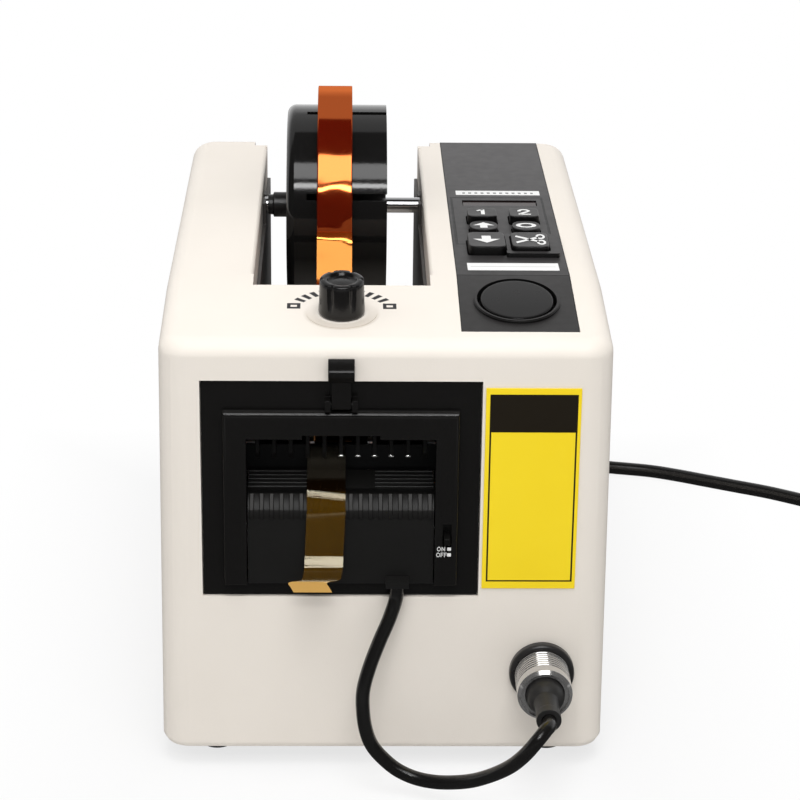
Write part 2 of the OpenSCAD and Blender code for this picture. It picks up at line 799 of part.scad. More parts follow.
// Raised bezel: two columns and a rounded head round the mouth
bezel_face = frame_in - bezel_t;
switch_slot_x = line_x + bezel_w / 2 - 3.4;
notch_w = 24;
nub_h = 4;
nub_w = 2;
nub_travel = 3;
nub_mid = bezel_z + 15.5;
module outlet_bezel() {
    color("#1f1e1e") difference() {
        box_at(line_x - bezel_w / 2, line_x + bezel_w / 2, fy(bezel_face), fy(frame_in), hz(bezel_z),
            hz(bezel_z + bezel_h));
        box_at(line_x - mouth_w / 2, line_x + mouth_w / 2, fy(bezel_face - 1), fy(frame_in + 1),
            hz(bezel_z - 1), hz(mouth_top));
        box_at(line_x - notch_w / 2, line_x + notch_w / 2, fy(bezel_face - 1), fy(frame_in + 1),
            hz(mouth_top) - 1, hz(mouth_top + 1.3));
        across(line_x - bezel_w, line_x + bezel_w) translate([fy(bezel_face), hz(bezel_z + bezel_h)])
            mirror([0, 1]) edge_waste(2);
        for (side = [-1, 1])
            translate([line_x + side * bezel_w / 2, fy(bezel_face), hz(bezel_z - 1)])
                mirror([side > 0 ? 1 : 0, 0, 0]) linear_extrude(bezel_h + 2) edge_waste(1.2);
        box_at(switch_slot_x - nub_w / 2 - slack, switch_slot_x + nub_w / 2 + slack, fy(bezel_face - 1),
            fy(frame_in + 1),
            hz(nub_mid - nub_h / 2) - slack, hz(nub_mid + nub_h / 2 + nub_travel) + slack);
    }
}

module sensor_switch() {
    color("#2a2a2a") translate([switch_slot_x - nub_w / 2, 0, 0]) across(0, nub_w) polygon([
        [fy(frame_in - 0.1), hz(nub_mid - nub_h / 2)],
        [fy(bezel_face - 1.6), hz(nub_mid - nub_h / 2 + 1)],
        [fy(bezel_face - 1.6), hz(nub_mid + nub_h / 2 - 1)],
        [fy(frame_in - 0.1), hz(nub_mid + nub_h / 2)]
    ]);
}

// Upper guide: a bar between the side plates with a row of fins over the tape's way out
comb_pitch = mouth_w / (comb_n + 0.27);
comb_z = path_h + 8;
comb_t = 6;
fin_z = path_h + 2;
fin_low = path_h - 1.3;
module guide_comb() {
    fin_t = 1.2;
    span = comb_pitch * (comb_n - 1);
    color("#181818") {
        box_at(line_x - plate_x, line_x + plate_x, fy(ledge_back + slack), fy(tray_back - 1), hz(comb_z),
            hz(comb_z + comb_t));
        for (i = [0 : comb_n - 1])
            translate([line_x - span / 2 + comb_pitch * i - fin_t / 2, 0, 0]) across(0, fin_t) polygon([
                [fy(ledge_back + slack), hz(comb_z) + eps],
                [fy(ledge_back + slack), hz(fin_low + 2.4)],
                [fy(ledge_back + 2), hz(fin_low)],
                [fy(ledge_back + 4), hz(fin_low)],
                [fy(tray_back - 1), hz(fin_z)],
                [fy(tray_back - 1), hz(comb_z) + eps]
            ]);
    }
}

// Lower guide: ribbed shelf, ribbed round lip and flat apron in one moulding
apron_back = -1;
apron_t = 2.4;
shelf_rise = 3.4;
collar_x = 4;
collar_w = 7.2;
collar_l = 4;
collar_h = 2.6;
module outlet_tray() {
    half = mouth_w / 2 - slack;
    rib_half = half - 18.3;
    rib_n = 5;
    rib_d = 0.9;
    lip_pitch = (2 * half - 2) / (lip_n - 1);
    lip_rib = 0.8;
    lip_rise = 0.3;
    apron_z = bezel_z + 0.2;
    tray_foot = 3;
    color("#232222") {
        across(line_x - half, line_x + half) {
            lip_arc(lip_r, lip_r - apron_t, 0);
            translate([fy(apron_back), hz(apron_z)]) square([apron_t, lip_top - lip_r - apron_z + eps]);
            polygon([
                [fy(lip_mid) - eps, hz(lip_top)],
                [fy(tray_back), hz(lip_top + shelf_rise)],
                [fy(tray_back), hz(lip_top + shelf_rise - apron_t)],
                [fy(lip_mid) - eps, hz(lip_top - apron_t)]
            ]);
        }
        // Feet that reach the side plates and carry the tray
        for (side = [-1, 1])
            translate([line_x + side * (plate_x - tray_foot / 2) - tray_foot / 2, fy(ledge_back + 0.5), 0])
                box_at(0, tray_foot, 0, tray_back - ledge_back - 0.5,
                    hz(lip_top - apron_t - 4), hz(lip_top - apron_t + 2));
        // Cross ribs on the shelf, left and right of the smooth middle
        for (side = [-1, 1], i = [0 : rib_n - 1]) {
            t = (i + 0.5) / rib_n;
            x0 = side > 0 ? line_x + rib_half : line_x - half;
            rod_x(x0, x0 + half - rib_half, fy(lip_mid + (tray_back - lip_mid) * t),
                hz(lip_top + shelf_rise * t), rib_d);
        }
        // Upright ribs round the lip
        for (i = [0 : lip_n - 1])
            translate([line_x - half + 1 + lip_pitch * i - lip_rib / 2, 0, 0]) across(0, lip_rib)
                lip_arc(lip_r + lip_rise, lip_r - lip_rise, 1);
        // Collar that the cable comes out of
        box_at(collar_x - collar_w / 2, collar_x + collar_w / 2,
            fy(apron_back - collar_l), fy(apron_back) + eps, hz(apron_z), hz(apron_z + collar_h));
    }
}

// Front upper quarter of a ring round the lip's middle, cut off short of its crown
module lip_arc(outer, inner, short) {
    translate([fy(lip_mid), hz(lip_top - lip_r)]) intersection() {
        difference() {
            circle(outer);
            circle(inner);
        }
        translate([-2 * outer, 0]) square([2 * outer - short, 2 * outer]);
    }
}

// Side plates of the cutter, with the holes and slots that its shafts and bar run in
bar_back = blade_back + blade_t;
bar_d = 3.6;
bar_h = 5;
bar_z = path_h + 9;
module side_plate(x0) {
    color("#b9bbbd") difference() {
        box_at(x0, x0 + side_t, fy(ledge_back), fy(gap_front - wall - 0.5),
            hz(bezel_z - 1.2), hz(mouth_top + 12));
        for (h = [lower_h, upper_h])
            rod_x(x0 - 1, x0 + side_t + 1, fy(roller_back), hz(h), shaft_d + 2 * run_gap);
        rod_x(x0 - 1, x0 + side_t + 1, fy(motor_back), hz(motor_h), 4);
        box_at(x0 - 1, x0 + side_t + 1, fy(bar_back) - slack, fy(bar_back + bar_d) + slack,
            hz(bar_z - blade_travel) - slack, hz(bar_z + bar_h) + slack);
    }
}

module side_plate_left() {
    side_plate(line_x - plate_x - side_t);
}

idler_pin_d = 3;
module side_plate_right() {
    side_plate(line_x + plate_x);
    color("#b9bbbd") rod_x(line_x + plate_x + side_t - eps, line_x + gear_x + gear_w + slack,
        fy(idler_back), hz(idler_h), idler_pin_d);
}

// Straight-flanked gear outline in the Y-Z plane, with a tooth centred at the angle turn
module gear_outline(teeth, turn) {
    step = 360 / teeth;
    tip = pitch_r(teeth) + 0.7 * gear_m;
    root = pitch_r(teeth) - 1.05 * gear_m;
    root_half = step * 0.27;
    tip_half = step * 0.1;
    function at(r, a) = [r * cos(a), r * sin(a)];
    polygon([for (i = [0 : teeth - 1]) let (a = turn + i * step) each [
        at(root, a - root_half), at(tip, a - tip_half), at(tip, a + tip_half), at(root, a + root_half)
    ]]);
}

// Angle at which a gear has to stand to mesh with its neighbour across the line of centres
function mesh_turn(line, turn, teeth, other) = line + 180 + (line - turn) * teeth / other + 180 / other;
lower_turn = 90;
upper_turn = mesh_turn(90, lower_turn, roller_teeth, roller_teeth);
idler_phase = mesh_turn(idler_turn, lower_turn, roller_teeth, idler_teeth);
pinion_phase = mesh_turn(motor_turn, idler_phase, idler_teeth, pinion_teeth);

module gear(x0, back, h, teeth, turn) {
    translate([0, fy(back), hz(h)]) across(x0, x0 + gear_w) gear_outline(teeth, turn);
}

module roller_shaft(h, turn) {
    x0 = line_x - plate_x - side_t - 0.8;
    x1 = line_x + gear_x;
    color("#c4c6c8") {
        rod_x(x0, x1 + gear_w, fy(roller_back), hz(h), shaft_d);
        gear(x1, roller_back, h, roller_teeth, turn);
    }
}

// Rubber rollers: three sleeves on the shaft
module roller_rubber(h) {
    sleeve_n = 3;
    pitch = (2 * plate_x - 4) / sleeve_n;
    color("#3b3b3c") for (i = [0 : sleeve_n - 1])
        translate([line_x - plate_x + 2 + pitch * i + 1, fy(roller_back), hz(h)]) rotate([0, 90, 0])
            rotate_extrude() translate([shaft_d / 2, 0]) square([roller_r - shaft_d / 2, pitch - 2]);
}

module lower_shaft() {
    roller_shaft(lower_h, lower_turn);
}

module upper_shaft() {
    roller_shaft(upper_h, upper_turn);
}

module lower_roller() {
    roller_rubber(lower_h);
}

module upper_roller() {
    roller_rubber(upper_h);
}

module idler_gear() {
    color("#d9d4c4") difference() {
        gear(line_x + gear_x, idler_back, idler_h, idler_teeth, idler_phase);
        rod_x(line_x, line_x + 60, fy(idler_back), hz(idler_h), idler_pin_d + 2 * run_gap);
    }
}

module motor(side) {
    x0 = side > 0 ? line_x + plate_x - motor_l : line_x - plate_x;
    color("#9a9c9f") rod_x(x0, x0 + motor_l, fy(motor_back), hz(motor_h), motor_d);
}

module feed_motor() {
    motor(1);
}

module cutter_motor() {
    motor(-1);
}

// Pinion on its motor shaft
motor_shaft_d = 2.4;
module feed_pinion() {
    color("#c8a24a") {
        gear(line_x + gear_x, motor_back, motor_h, pinion_teeth, pinion_phase);
        rod_x(line_x + plate_x + slack, line_x + gear_x + eps, fy(motor_back), hz(motor_h), motor_shaft_d);
    }
}

module cutter_pinion() {
    color("#c8a24a") {
        gear(line_x - gear_x - gear_w, motor_back, motor_h, pinion_teeth, 180);
        rod_x(line_x - gear_x - eps, line_x - plate_x - slack, fy(motor_back), hz(motor_h), motor_shaft_d);
    }
}

// Blade carrier: a toothed arm outside the left plate and a bar that runs through both plates
rack_line = motor_back - pitch_r(pinion_teeth);
module blade_carrier() {
    rack_pitch = PI * gear_m;
    rack_n = 7;
    rack_root = rack_line - 1.05 * gear_m;
    arm = 4;
    arm_x = line_x - gear_x - gear_w;
    rack_low = motor_h - 2 * rack_pitch;
    color("#a9acb0") {
        across(arm_x, arm_x + gear_w) polygon(concat(
            [[fy(rack_root - arm), hz(bar_z + bar_h)], [fy(rack_root - arm), hz(rack_low - rack_pitch)],
                [fy(rack_root), hz(rack_low - rack_pitch)]],
            [for (i = [0 : rack_n - 1]) let (z = rack_low + rack_pitch * (i - 0.5) + rack_pitch) each [
                [fy(rack_root), hz(z - 0.26 * rack_pitch)],
                [fy(rack_line + 0.7 * gear_m), hz(z - 0.1 * rack_pitch)],
                [fy(rack_line + 0.7 * gear_m), hz(z + 0.1 * rack_pitch)],
                [fy(rack_root), hz(z + 0.26 * rack_pitch)]
            ]],
            [[fy(rack_root), hz(bar_z - 2)], [fy(bar_back + bar_d), hz(bar_z - 2)],
                [fy(bar_back + bar_d), hz(bar_z + bar_h)]]
        ));
        box_at(arm_x + gear_w - eps, line_x + plate_x + side_t, fy(bar_back), fy(bar_back + bar_d),
            hz(bar_z), hz(bar_z + bar_h));
    }
}

module moving_blade() {
    half = mouth_w / 2 - 2;
    tooth_n = 28;
    tooth = 2 * half / tooth_n;
    tooth_h = tooth * 0.56;
    edge = hz(path_h + 3.6);
    top = hz(bar_z + bar_h);
    teeth = [for (i = [0 : tooth_n - 1])
        let (x = tooth * i - half)
        each [[x + tooth / 2, edge - tooth_h], [x + tooth, edge]]
    ];
    color("#d8dadd") translate([line_x, fy(bar_back), 0]) rotate([90, 0, 0]) linear_extrude(blade_t)
        polygon(concat([[half, top], [-half, top], [-half, edge]], teeth));
}

fixed_h = 9;
module fixed_blade() {
    face = bar_back + blade_gap;
    color("#d8dadd") box_at(line_x - plate_x, line_x + plate_x, fy(face), fy(face + blade_t),
        hz(path_h - fixed_h), hz(path_h - 2 * film_t));
}

// Finger latch that holds the cutter in the housing
latch_stem = 6;
latch_back = -1.4;
latch_h = bezel_z + bezel_h + 2.3;
latch_pin_d = 2;
latch_ear = 1.8;
module latch_lever() {
    head_low = frame_z + frame_h + 0.9;
    head_back = -0.3;
    head_t = 4.7;
    stem_r = 1.5;
    color("#1d1c1c") {
        across(line_x - latch_stem / 2, line_x + latch_stem / 2) {
            translate([fy(latch_back), hz(latch_h)]) circle(stem_r);
            translate([fy(latch_back - stem_r), hz(latch_h)]) square([2.6, head_low - latch_h + 1]);
        }
        across(line_x - latch_w / 2, line_x + latch_w / 2)
            translate([fy(head_back), hz(head_low)])
                polygon([
                    [0, 0], [-head_t + 2, 0], [-head_t, 2.4], [-head_t, 4], [-head_t + 1, 5.2], [0, 6.8]
                ]);
        box_at(line_x - nose_w / 2, line_x + nose_w / 2, fy(head_back - eps), fy(latch_nose),
            hz(nose_h - nose_t / 2), hz(nose_h + nose_t / 2));
        rod_x(line_x - latch_stem / 2 - latch_ear, line_x + latch_stem / 2 + latch_ear,
            fy(latch_back), hz(latch_h), latch_pin_d);
    }
}

// Panel socket: flange on the front face, threaded barrel through the wall and a nut inside
socket_t = 3;
nut_t = 3.1;
insert_d = 12;
module connector_socket() {
    color("#1b1b1b") translate([socket_x, fy(0), hz(socket_h)]) rotate([90, 0, 0]) {
        rotate_extrude($fn = 72) difference() {
            square([socket_d / 2, socket_t]);
            translate([socket_d / 2, socket_t]) mirror([1, 0]) mirror([0, 1]) edge_waste(1.4);
        }
        translate([0, 0, -wall - nut_t]) cylinder(d = socket_hole - 0.4, h = wall + nut_t + eps);
        translate([0, 0, -wall - nut_t]) cylinder(d = socket_hole + 6, h = nut_t - 0.1, $fn = 6);
    }
}

// Chrome coupling ring: ribbed barrel with a bright bevelled nose
module coupling_ring() {
    rib_n = 7;
    nose = 5;
    rib_pitch = (ring_l - nose) / rib_n;
    color("#d0d2d4") translate([socket_x, fy(-socket_t - slack), hz(socket_h)]) rotate([90, 0, 0])
        rotate_extrude($fn = 72) difference() {
            translate([insert_d / 2 + 0.2, 0]) square([(ring_d - insert_d) / 2 - 0.2, ring_l]);
            for (i = [0 : rib_n - 1])
                translate([ring_d / 2, rib_pitch * (i + 0.5)]) rotate(45) square(0.5, center = true);
            translate([ring_d / 2, ring_l]) rotate(45) square(2.4, center = true);
            translate([insert_d / 2 + 0.2, ring_l - 1.6]) square([1.4, 2]);
        }
}

// Plug insert and its rubber boot, stepped down to the cable
boot_l = 30.5;
module plug_boot() {
    neck_r = 3.5;
    rim_r = 3.9;
    color("#171717") translate([socket_x, fy(-socket_t), hz(socket_h)]) rotate([90, 0, 0])
        rotate_extrude() difference() {
            polygon([
                [0, 0], [insert_d / 2, 0], [insert_d / 2, ring_l + 0.6], [insert_d / 2 - 0.8, ring_l + 2.6],
                [rim_r, ring_l + 4.4], [neck_r, boot_l - 4], [rim_r, boot_l - 3.4],
                [rim_r, boot_l], [0, boot_l]
            ]);
            translate([-1, boot_l - cable_d]) square([1 + cable_d / 2, cable_d + 1]);
        }
}

// Frame carried along a route without twist: tangent and one normal at each point
function unit(v) = v / norm(v);
function tangent(pts, i) = unit(pts[min(i + 1, len(pts) - 1)] - pts[max(i - 1, 0)]);
function normal(pts, i, first) = let (
    t = tangent(pts, i),
    n = i == 0 ? first : normal(pts, i - 1, first)
) unit(n - (n * t) * t);

// Faces of a tube of closed rings, as triangles, with flat ends
function tube_faces(rings, sides) = concat(
    [for (i = [0 : rings - 2], k = [0 : sides - 1]) let (
        a = i * sides + k, b = i * sides + (k + 1) % sides, c = b + sides, d = a + sides
    ) each [[a, d, c], [a, c, b]]],
    [for (k = [1 : sides - 2]) [0, k, k + 1]],
    [for (k = [1 : sides - 2]) let (z = (rings - 1) * sides) [z, z + k + 1, z + k]]
);

// Tube of a round cord swept along hand-chosen points
module cord_tube(pts, d, sides, first) {
    points = [for (i = [0 : len(pts) - 1])
        let (t = tangent(pts, i), n = normal(pts, i, first), b = cross(t, n))
        for (k = [0 : sides - 1]) let (a = 360 * k / sides) pts[i] + d / 2 * (cos(a) * n + sin(a) * b)];
    polyhedron(points, tube_faces(len(pts), sides));
}

// Cable from the boot, forward and down in a slack bow, and up to the collar under the outlet
boot_tip = [socket_x, fy(-socket_t - boot_l), hz(socket_h)];
collar_mid = [collar_x, fy(-2.6), hz(bezel_z + 0.2)];
cable_route = [
    boot_tip + [0, cable_d, 0], boot_tip, boot_tip + [-0.2, -3.5, 0.2],
    [49, -146, 34.5], [46.5, -148.5, 32.5], [43, -148, 27.5], [39, -144.5, 21.5], [34, -140, 16],
    [28, -135, 11], [22, -131, 8], [16, -128, 6.5], [10, -125.5, 6.5], [4.5, -124, 8.5], [0, -123, 12],
    [-3.5, -122, 16], [-5.5, -121.5, 21], [-6.5, -120.5, 27], [-6.5, -119, 34], [-4.5, -117, 41.5],
    [-1.5, -114.5, 49], [1.5, -112, 55.5],
    collar_mid - [0.4, 0.5, cable_d], collar_mid
];
module front_cable() {
    color("#1d1d1d") cord_tube(cable_route, cable_d, 10, [0, 0, 1]);
}

// Tapered strain relief in the rear wall
gland_l = 22;
module cord_gland() {
    neck_r = gland_hole / 2 - 0.1;
    head_r = gland_hole / 2 + 1.6;
    color("#1a1a1a") translate([gland_x, rear_y, hz(gland_h)]) rotate([-90, 0, 0]) rotate_extrude()
        polygon([
            [0, -wall - 2], [head_r, -wall - 2], [head_r, -wall - 0.1], [neck_r, -wall - 0.1],
            [neck_r, 0.1], [head_r, 0.1], [head_r, 2.4], [neck_r, 3],
            [cord_d / 2 + 0.9, gland_l], [0, gland_l]
        ]);
}

// Mains cord from the strain relief, round behind the right arm and along the table to its coil
lie_z = cord_d / 2;
gland_tip = [gland_x, rear_y + gland_l, hz(gland_h)];
coil_start = [198, 88];
coil_dir = 237.3;
coil_in = [-sin(coil_dir), cos(coil_dir)];
cord_route = [
    gland_tip, gland_tip + [0, cord_d, 0],
    [22.5, 140, 25.5], [25, 147, 21.5], [30, 152.5, 16], [38, 156, 10.5],
    [48, 156, 6], [59, 152.5, lie_z + 0.8], [71, 147, lie_z], [84, 142, lie_z], [98, 138.5, lie_z],
    [113, 135, lie_z], [124, 130.5, lie_z], [135, 125, lie_z], [147, 119, lie_z], [159, 113, lie_z],
    [171, 105.5, lie_z], [180, 99.5, lie_z],
    [each coil_start - coil_in * cord_d * 2, lie_z], [each coil_start - coil_in * cord_d, lie_z]
];
module power_cord() {
    color("#161616") cord_tube(cord_route, cord_d, 10, [0, 0, 1]);
}

// Coil: three turns spiral in on the table, climb where they reverse, and three spiral out on top
coil_turns = 3;
coil_pitch = cord_d + 0.6;
coil_outer = 40;
coil_mid = coil_start - coil_outer * [cos(coil_dir), sin(coil_dir)];
coil_rings = 24;
coil_sides = 6;
coil_total = 2 * coil_turns + 0.5;
coil_n = coil_rings * coil_total;
function coil_r(t) = coil_outer - coil_pitch * min(t, coil_total - t);
function coil_rise(t) = let (u = min(max((t - coil_turns) * 2, 0), 1))
    lie_z + coil_pitch * (1 - cos(180 * u)) / 2;
function coil_point(t) = let (a = coil_dir + 360 * t) [
    coil_mid[0] + coil_r(t) * cos(a), coil_mid[1] + coil_r(t) * sin(a), coil_rise(t)];
coil_end = coil_point(coil_total);
coil_out = [-sin(coil_dir + 180), cos(coil_dir + 180), 0];
coil_path = concat(
    [[each coil_start - coil_in * cord_d, lie_z]],
    [for (i = [0 : coil_n]) coil_point(i / coil_rings)],
    [coil_end + coil_out * cord_d]
);
function coil_gap() = min([for (i = [0 : 2 : len(coil_path) - 1], j = [i + 12 : 1 : len(coil_path) - 1])
    norm(coil_path[i] - coil_path[j])]) - cord_d;
module power_cord_coil() {
    last = len(coil_path) - 1;
    points = [for (i = [0 : last]) let (
        a = coil_dir + 360 * min(max(i - 1, 0), coil_n) / coil_rings,
        n = [cos(a), sin(a), 0]
    ) for (k = [0 : coil_sides - 1]) coil_path[i] + cord_d / 2 * (cos(360 * k / coil_sides) * n
        - sin(360 * k / coil_sides) * [0, 0, 1])];
    echo("least gap between the turns of the coil", coil_gap());
    color("#161616") polyhedron(points, tube_faces(last + 1, coil_sides));
}

// Strap tied round the turns of the coil
tie_w = 8;
tie_t = 0.8;
tie_turn = 330;
module cord_tie() {
    inner = coil_outer - coil_pitch * (coil_turns + 0.25) - cord_d / 2;
    outer = coil_outer + cord_d / 2;
    height = lie_z + coil_pitch + cord_d / 2;
    color("#2c2c2c") translate([coil_mid[0], coil_mid[1], 0]) rotate(tie_turn) difference() {
        box_at(inner - tie_t, outer + tie_t, -tie_w / 2, tie_w / 2, 0, height + tie_t);
        box_at(inner, outer, -tie_w, tie_w, tie_t / 2, height);
    }
}

// Two-pin plug that lies at the free end of the coil
plug_l = 34;
plug_w = 24;
plug_t = 16.4;
plug_neck = 8;
pin_l = 17;
pin_w = 6.2;
pin_t = 1.5;
pin_dx = 6.35;
module power_plug() {
    color("#1a1a1a") translate(coil_end + coil_out * cord_d) rotate(coil_dir + 270) {
        translate([plug_neck, 0, 0]) rotate([90, 0, 90]) linear_extrude(plug_l - plug_neck) {
            square([plug_w - plug_t, plug_t], center = true);
            for (side = [-1, 1])
                translate([side * (plug_w - plug_t) / 2, 0]) circle(d = plug_t);
        }
        rotate([0, 90, 0]) cylinder(d1 = cord_d + 2, d2 = plug_t - 1, h = plug_neck + eps);
        for (side = [-1, 1])
            translate([plug_l - eps, side * pin_dx - pin_t / 2, -pin_w / 2]) cube([pin_l, pin_t, pin_w]);
    }
}

// Mains transformer on the bottom plate: steel core, winding and mounting strap
core_w = 48;
core_l = 36;
core_h = 38;
winding_out = 8;
strap_l = 24;
strap_h = 1.5;
transformer_in = 38;
transformer_back = 140;
module power_transformer() {
    translate([-body_w / 2 + wall + transformer_in, fy(transformer_back), bz(base_t)]) color("#7d7468") {
        box_at(-core_w / 2, core_w / 2, -core_l / 2, core_l / 2, 0, core_h);
        box_at(winding_out - core_w / 2, core_w / 2 - winding_out, -core_l / 2 - winding_out,
            core_l / 2 + winding_out, winding_out, core_h - winding_out);
        box_at(-core_w / 2 - winding_out, core_w / 2 + winding_out, -strap_l / 2, strap_l / 2, 0, strap_h);
    }
}

// Control board on four posts over the bottom plate, with its capacitors, chip and heat sink
logic_w = 52;
logic_l = 96;
logic_side = 40;
logic_back = 110;
standoff_h = 8;
standoff_d = 6;
standoff_in = 4;
can_n = 4;
can_d = 10;
can_h = 14.4;
can_pitch = 18;
chip_w = 22;
chip_l = 30;
chip_h = 3.4;
sink_h = 18.4;
module control_board() {
    translate([body_w / 2 - logic_side, fy(logic_back), bz(base_t + standoff_h)]) color("#2f5d3a") {
        box_at(-logic_w / 2, logic_w / 2, -logic_l / 2, logic_l / 2, 0, board_t);
        for (x = [-1, 1], y = [-1, 1])
            rod_z(x * (logic_w / 2 - standoff_in), y * (logic_l / 2 - standoff_in),
                -standoff_h, eps, standoff_d);
        for (i = [0 : can_n - 1])
            rod_z(-logic_w / 4, can_pitch * (i - (can_n - 1) / 2), board_t - eps, board_t + can_h, can_d);
        for (end = [-1, 1])
            translate([logic_w / 2 - chip_w / 2 - standoff_d, end * chip_l * 0.7, board_t - eps])
                box_at(-chip_w / 2, chip_w / 2, -chip_l / 2, chip_l / 2, 0, end < 0 ? chip_h : sink_h);
    }
}

// Rear mains switch: a body snapped into the wall and a rocker on its pivot
rocker_w = 9;
rocker_l = 15;
rocker_in = 2;
rocker_tilt = 8;
module switch_body() {
    color("#202020") difference() {
        union() {
            box_at(switch_x - switch_w / 2 + 0.1, switch_x + switch_w / 2 - 0.1, rear_y - 18, rear_y + 0.1,
                hz(switch_h - switch_l / 2) + 0.1, hz(switch_h + switch_l / 2) - 0.1);
            box_at(switch_x - switch_w / 2 - 1.2, switch_x + switch_w / 2 + 1.2, rear_y, rear_y + 1.8,
                hz(switch_h - switch_l / 2) - 1.2, hz(switch_h + switch_l / 2) + 1.2);
        }
        box_at(switch_x - rocker_w / 2 - slack, switch_x + rocker_w / 2 + slack, rear_y - 7, rear_y + 2,
            hz(switch_h - rocker_l / 2) - slack - 0.4, hz(switch_h + rocker_l / 2) + slack + 0.4);
        rod_x(switch_x - rocker_w / 2 - 1.2, switch_x + rocker_w / 2 + 1.2,
            rear_y - rocker_in, hz(switch_h), 2 + 2 * run_gap);
    }
}

module rocker_switch() {
    tip = rocker_l / 2;
    pivot = [0, rear_y - rocker_in, hz(switch_h)];
    color("#111111") translate(pivot) rotate([-rocker_tilt, 0, 0]) translate(-pivot) {
        across(switch_x - rocker_w / 2, switch_x + rocker_w / 2) translate([rear_y, hz(switch_h)]) polygon([
            [-4, -tip * 0.6], [0.4, -tip], [3.4, -tip], [1.6, 0], [3.4, tip], [0.4, tip], [-4, tip * 0.6]
        ]);
        rod_x(switch_x - rocker_w / 2 - 1, switch_x + rocker_w / 2 + 1,
            rear_y - rocker_in, hz(switch_h), 2);
    }
}

main_housing();
base_plate();
rubber_feet();
base_screws();
axle_holder_left();
axle_holder_right();
reel_axle();
axle_collar();
reel_drum();
tape_core();
tape_roll();
tape_lead();
tape_tail();
keypad_panel();
button_panel();
display_window();
cm_key();
mm_key();
up_key();
set_key();
down_key();
cut_key();
start_button();
switch_boards();
speed_knob();
speed_potentiometer();
info_plate();
outlet_frame();
outlet_bezel();
guide_comb();
outlet_tray();
side_plate_left();
side_plate_right();
lower_roller();
lower_shaft();
upper_roller();
upper_shaft();
idler_gear();
feed_motor();
feed_pinion();
cutter_motor();
cutter_pinion();
blade_carrier();
moving_blade();
fixed_blade();
latch_lever();
sensor_switch();
connector_socket();
coupling_ring();
plug_boot();
front_cable();
cord_gland();
power_cord();
power_cord_coil();
cord_tie();
power_plug();
power_transformer();
control_board();
switch_body();
rocker_switch();
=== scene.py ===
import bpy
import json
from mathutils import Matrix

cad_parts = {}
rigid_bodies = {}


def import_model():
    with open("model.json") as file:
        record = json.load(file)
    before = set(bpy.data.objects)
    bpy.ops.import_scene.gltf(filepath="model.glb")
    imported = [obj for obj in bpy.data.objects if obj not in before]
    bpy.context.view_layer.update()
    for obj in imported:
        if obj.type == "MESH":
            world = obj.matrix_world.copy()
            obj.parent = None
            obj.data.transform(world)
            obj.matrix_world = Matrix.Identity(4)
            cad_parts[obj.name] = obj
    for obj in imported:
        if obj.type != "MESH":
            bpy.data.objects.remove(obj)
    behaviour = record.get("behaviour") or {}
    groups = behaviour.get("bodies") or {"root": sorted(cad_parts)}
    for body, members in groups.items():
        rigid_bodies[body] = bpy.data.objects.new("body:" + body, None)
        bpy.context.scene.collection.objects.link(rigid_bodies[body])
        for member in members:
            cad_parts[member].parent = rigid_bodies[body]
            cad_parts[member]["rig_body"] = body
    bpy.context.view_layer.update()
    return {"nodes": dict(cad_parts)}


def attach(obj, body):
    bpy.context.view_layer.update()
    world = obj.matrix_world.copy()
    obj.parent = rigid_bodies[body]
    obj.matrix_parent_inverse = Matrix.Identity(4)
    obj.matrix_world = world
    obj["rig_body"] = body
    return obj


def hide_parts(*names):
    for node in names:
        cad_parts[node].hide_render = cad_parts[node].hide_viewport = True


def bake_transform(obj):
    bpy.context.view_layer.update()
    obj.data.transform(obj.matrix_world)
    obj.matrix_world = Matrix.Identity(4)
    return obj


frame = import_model()

import json
import math

import bmesh
import bpy
import numpy as np
from mathutils import Matrix, Vector

# Camera: the viewpoint of the photograph, a long lens some 0.85 m in front of the machine. It looks down on
# the front, turned a little to the right, with a slight roll.
eye = Vector((-0.01344, -0.83914, 0.41204))
pitch, yaw, roll = (math.radians(a) for a in (21.23, 1.38, 0.73))
ahead = Vector((math.sin(yaw) * math.cos(pitch), math.cos(yaw) * math.cos(pitch), -math.sin(pitch)))
level = Vector((math.cos(yaw), -math.sin(yaw), 0))
upright = level.cross(ahead)
right = math.cos(roll) * level + math.sin(roll) * upright
top = math.cos(roll) * upright - math.sin(roll) * level
camera = bpy.data.objects.new("photo_camera", bpy.data.cameras.new("photo_camera"))
camera.data.lens = 115.55
camera.data.sensor_width = 36
camera.matrix_world = Matrix.Translation(eye) @ Matrix((right, top, -ahead)).transposed().to_4x4()
bpy.context.scene.collection.objects.link(camera)
bpy.context.scene.camera = camera
bpy.context.scene.view_settings.view_transform = "Standard"

# Leads: black cable from the round plug up to the cutter, and the mains cord, which runs behind the machine
# to a small tied coil with its two-pin plug. Both are extruded PVC jackets with a faint satin skin, held by
# soft black grips at the round plug and at the rear wall.
MM = 0.001
body_l = 213.0
front_y, rear_y = -body_l / 2, body_l / 2
line_h = 3.0
cable_d, cord_d = 4.5, 5.2


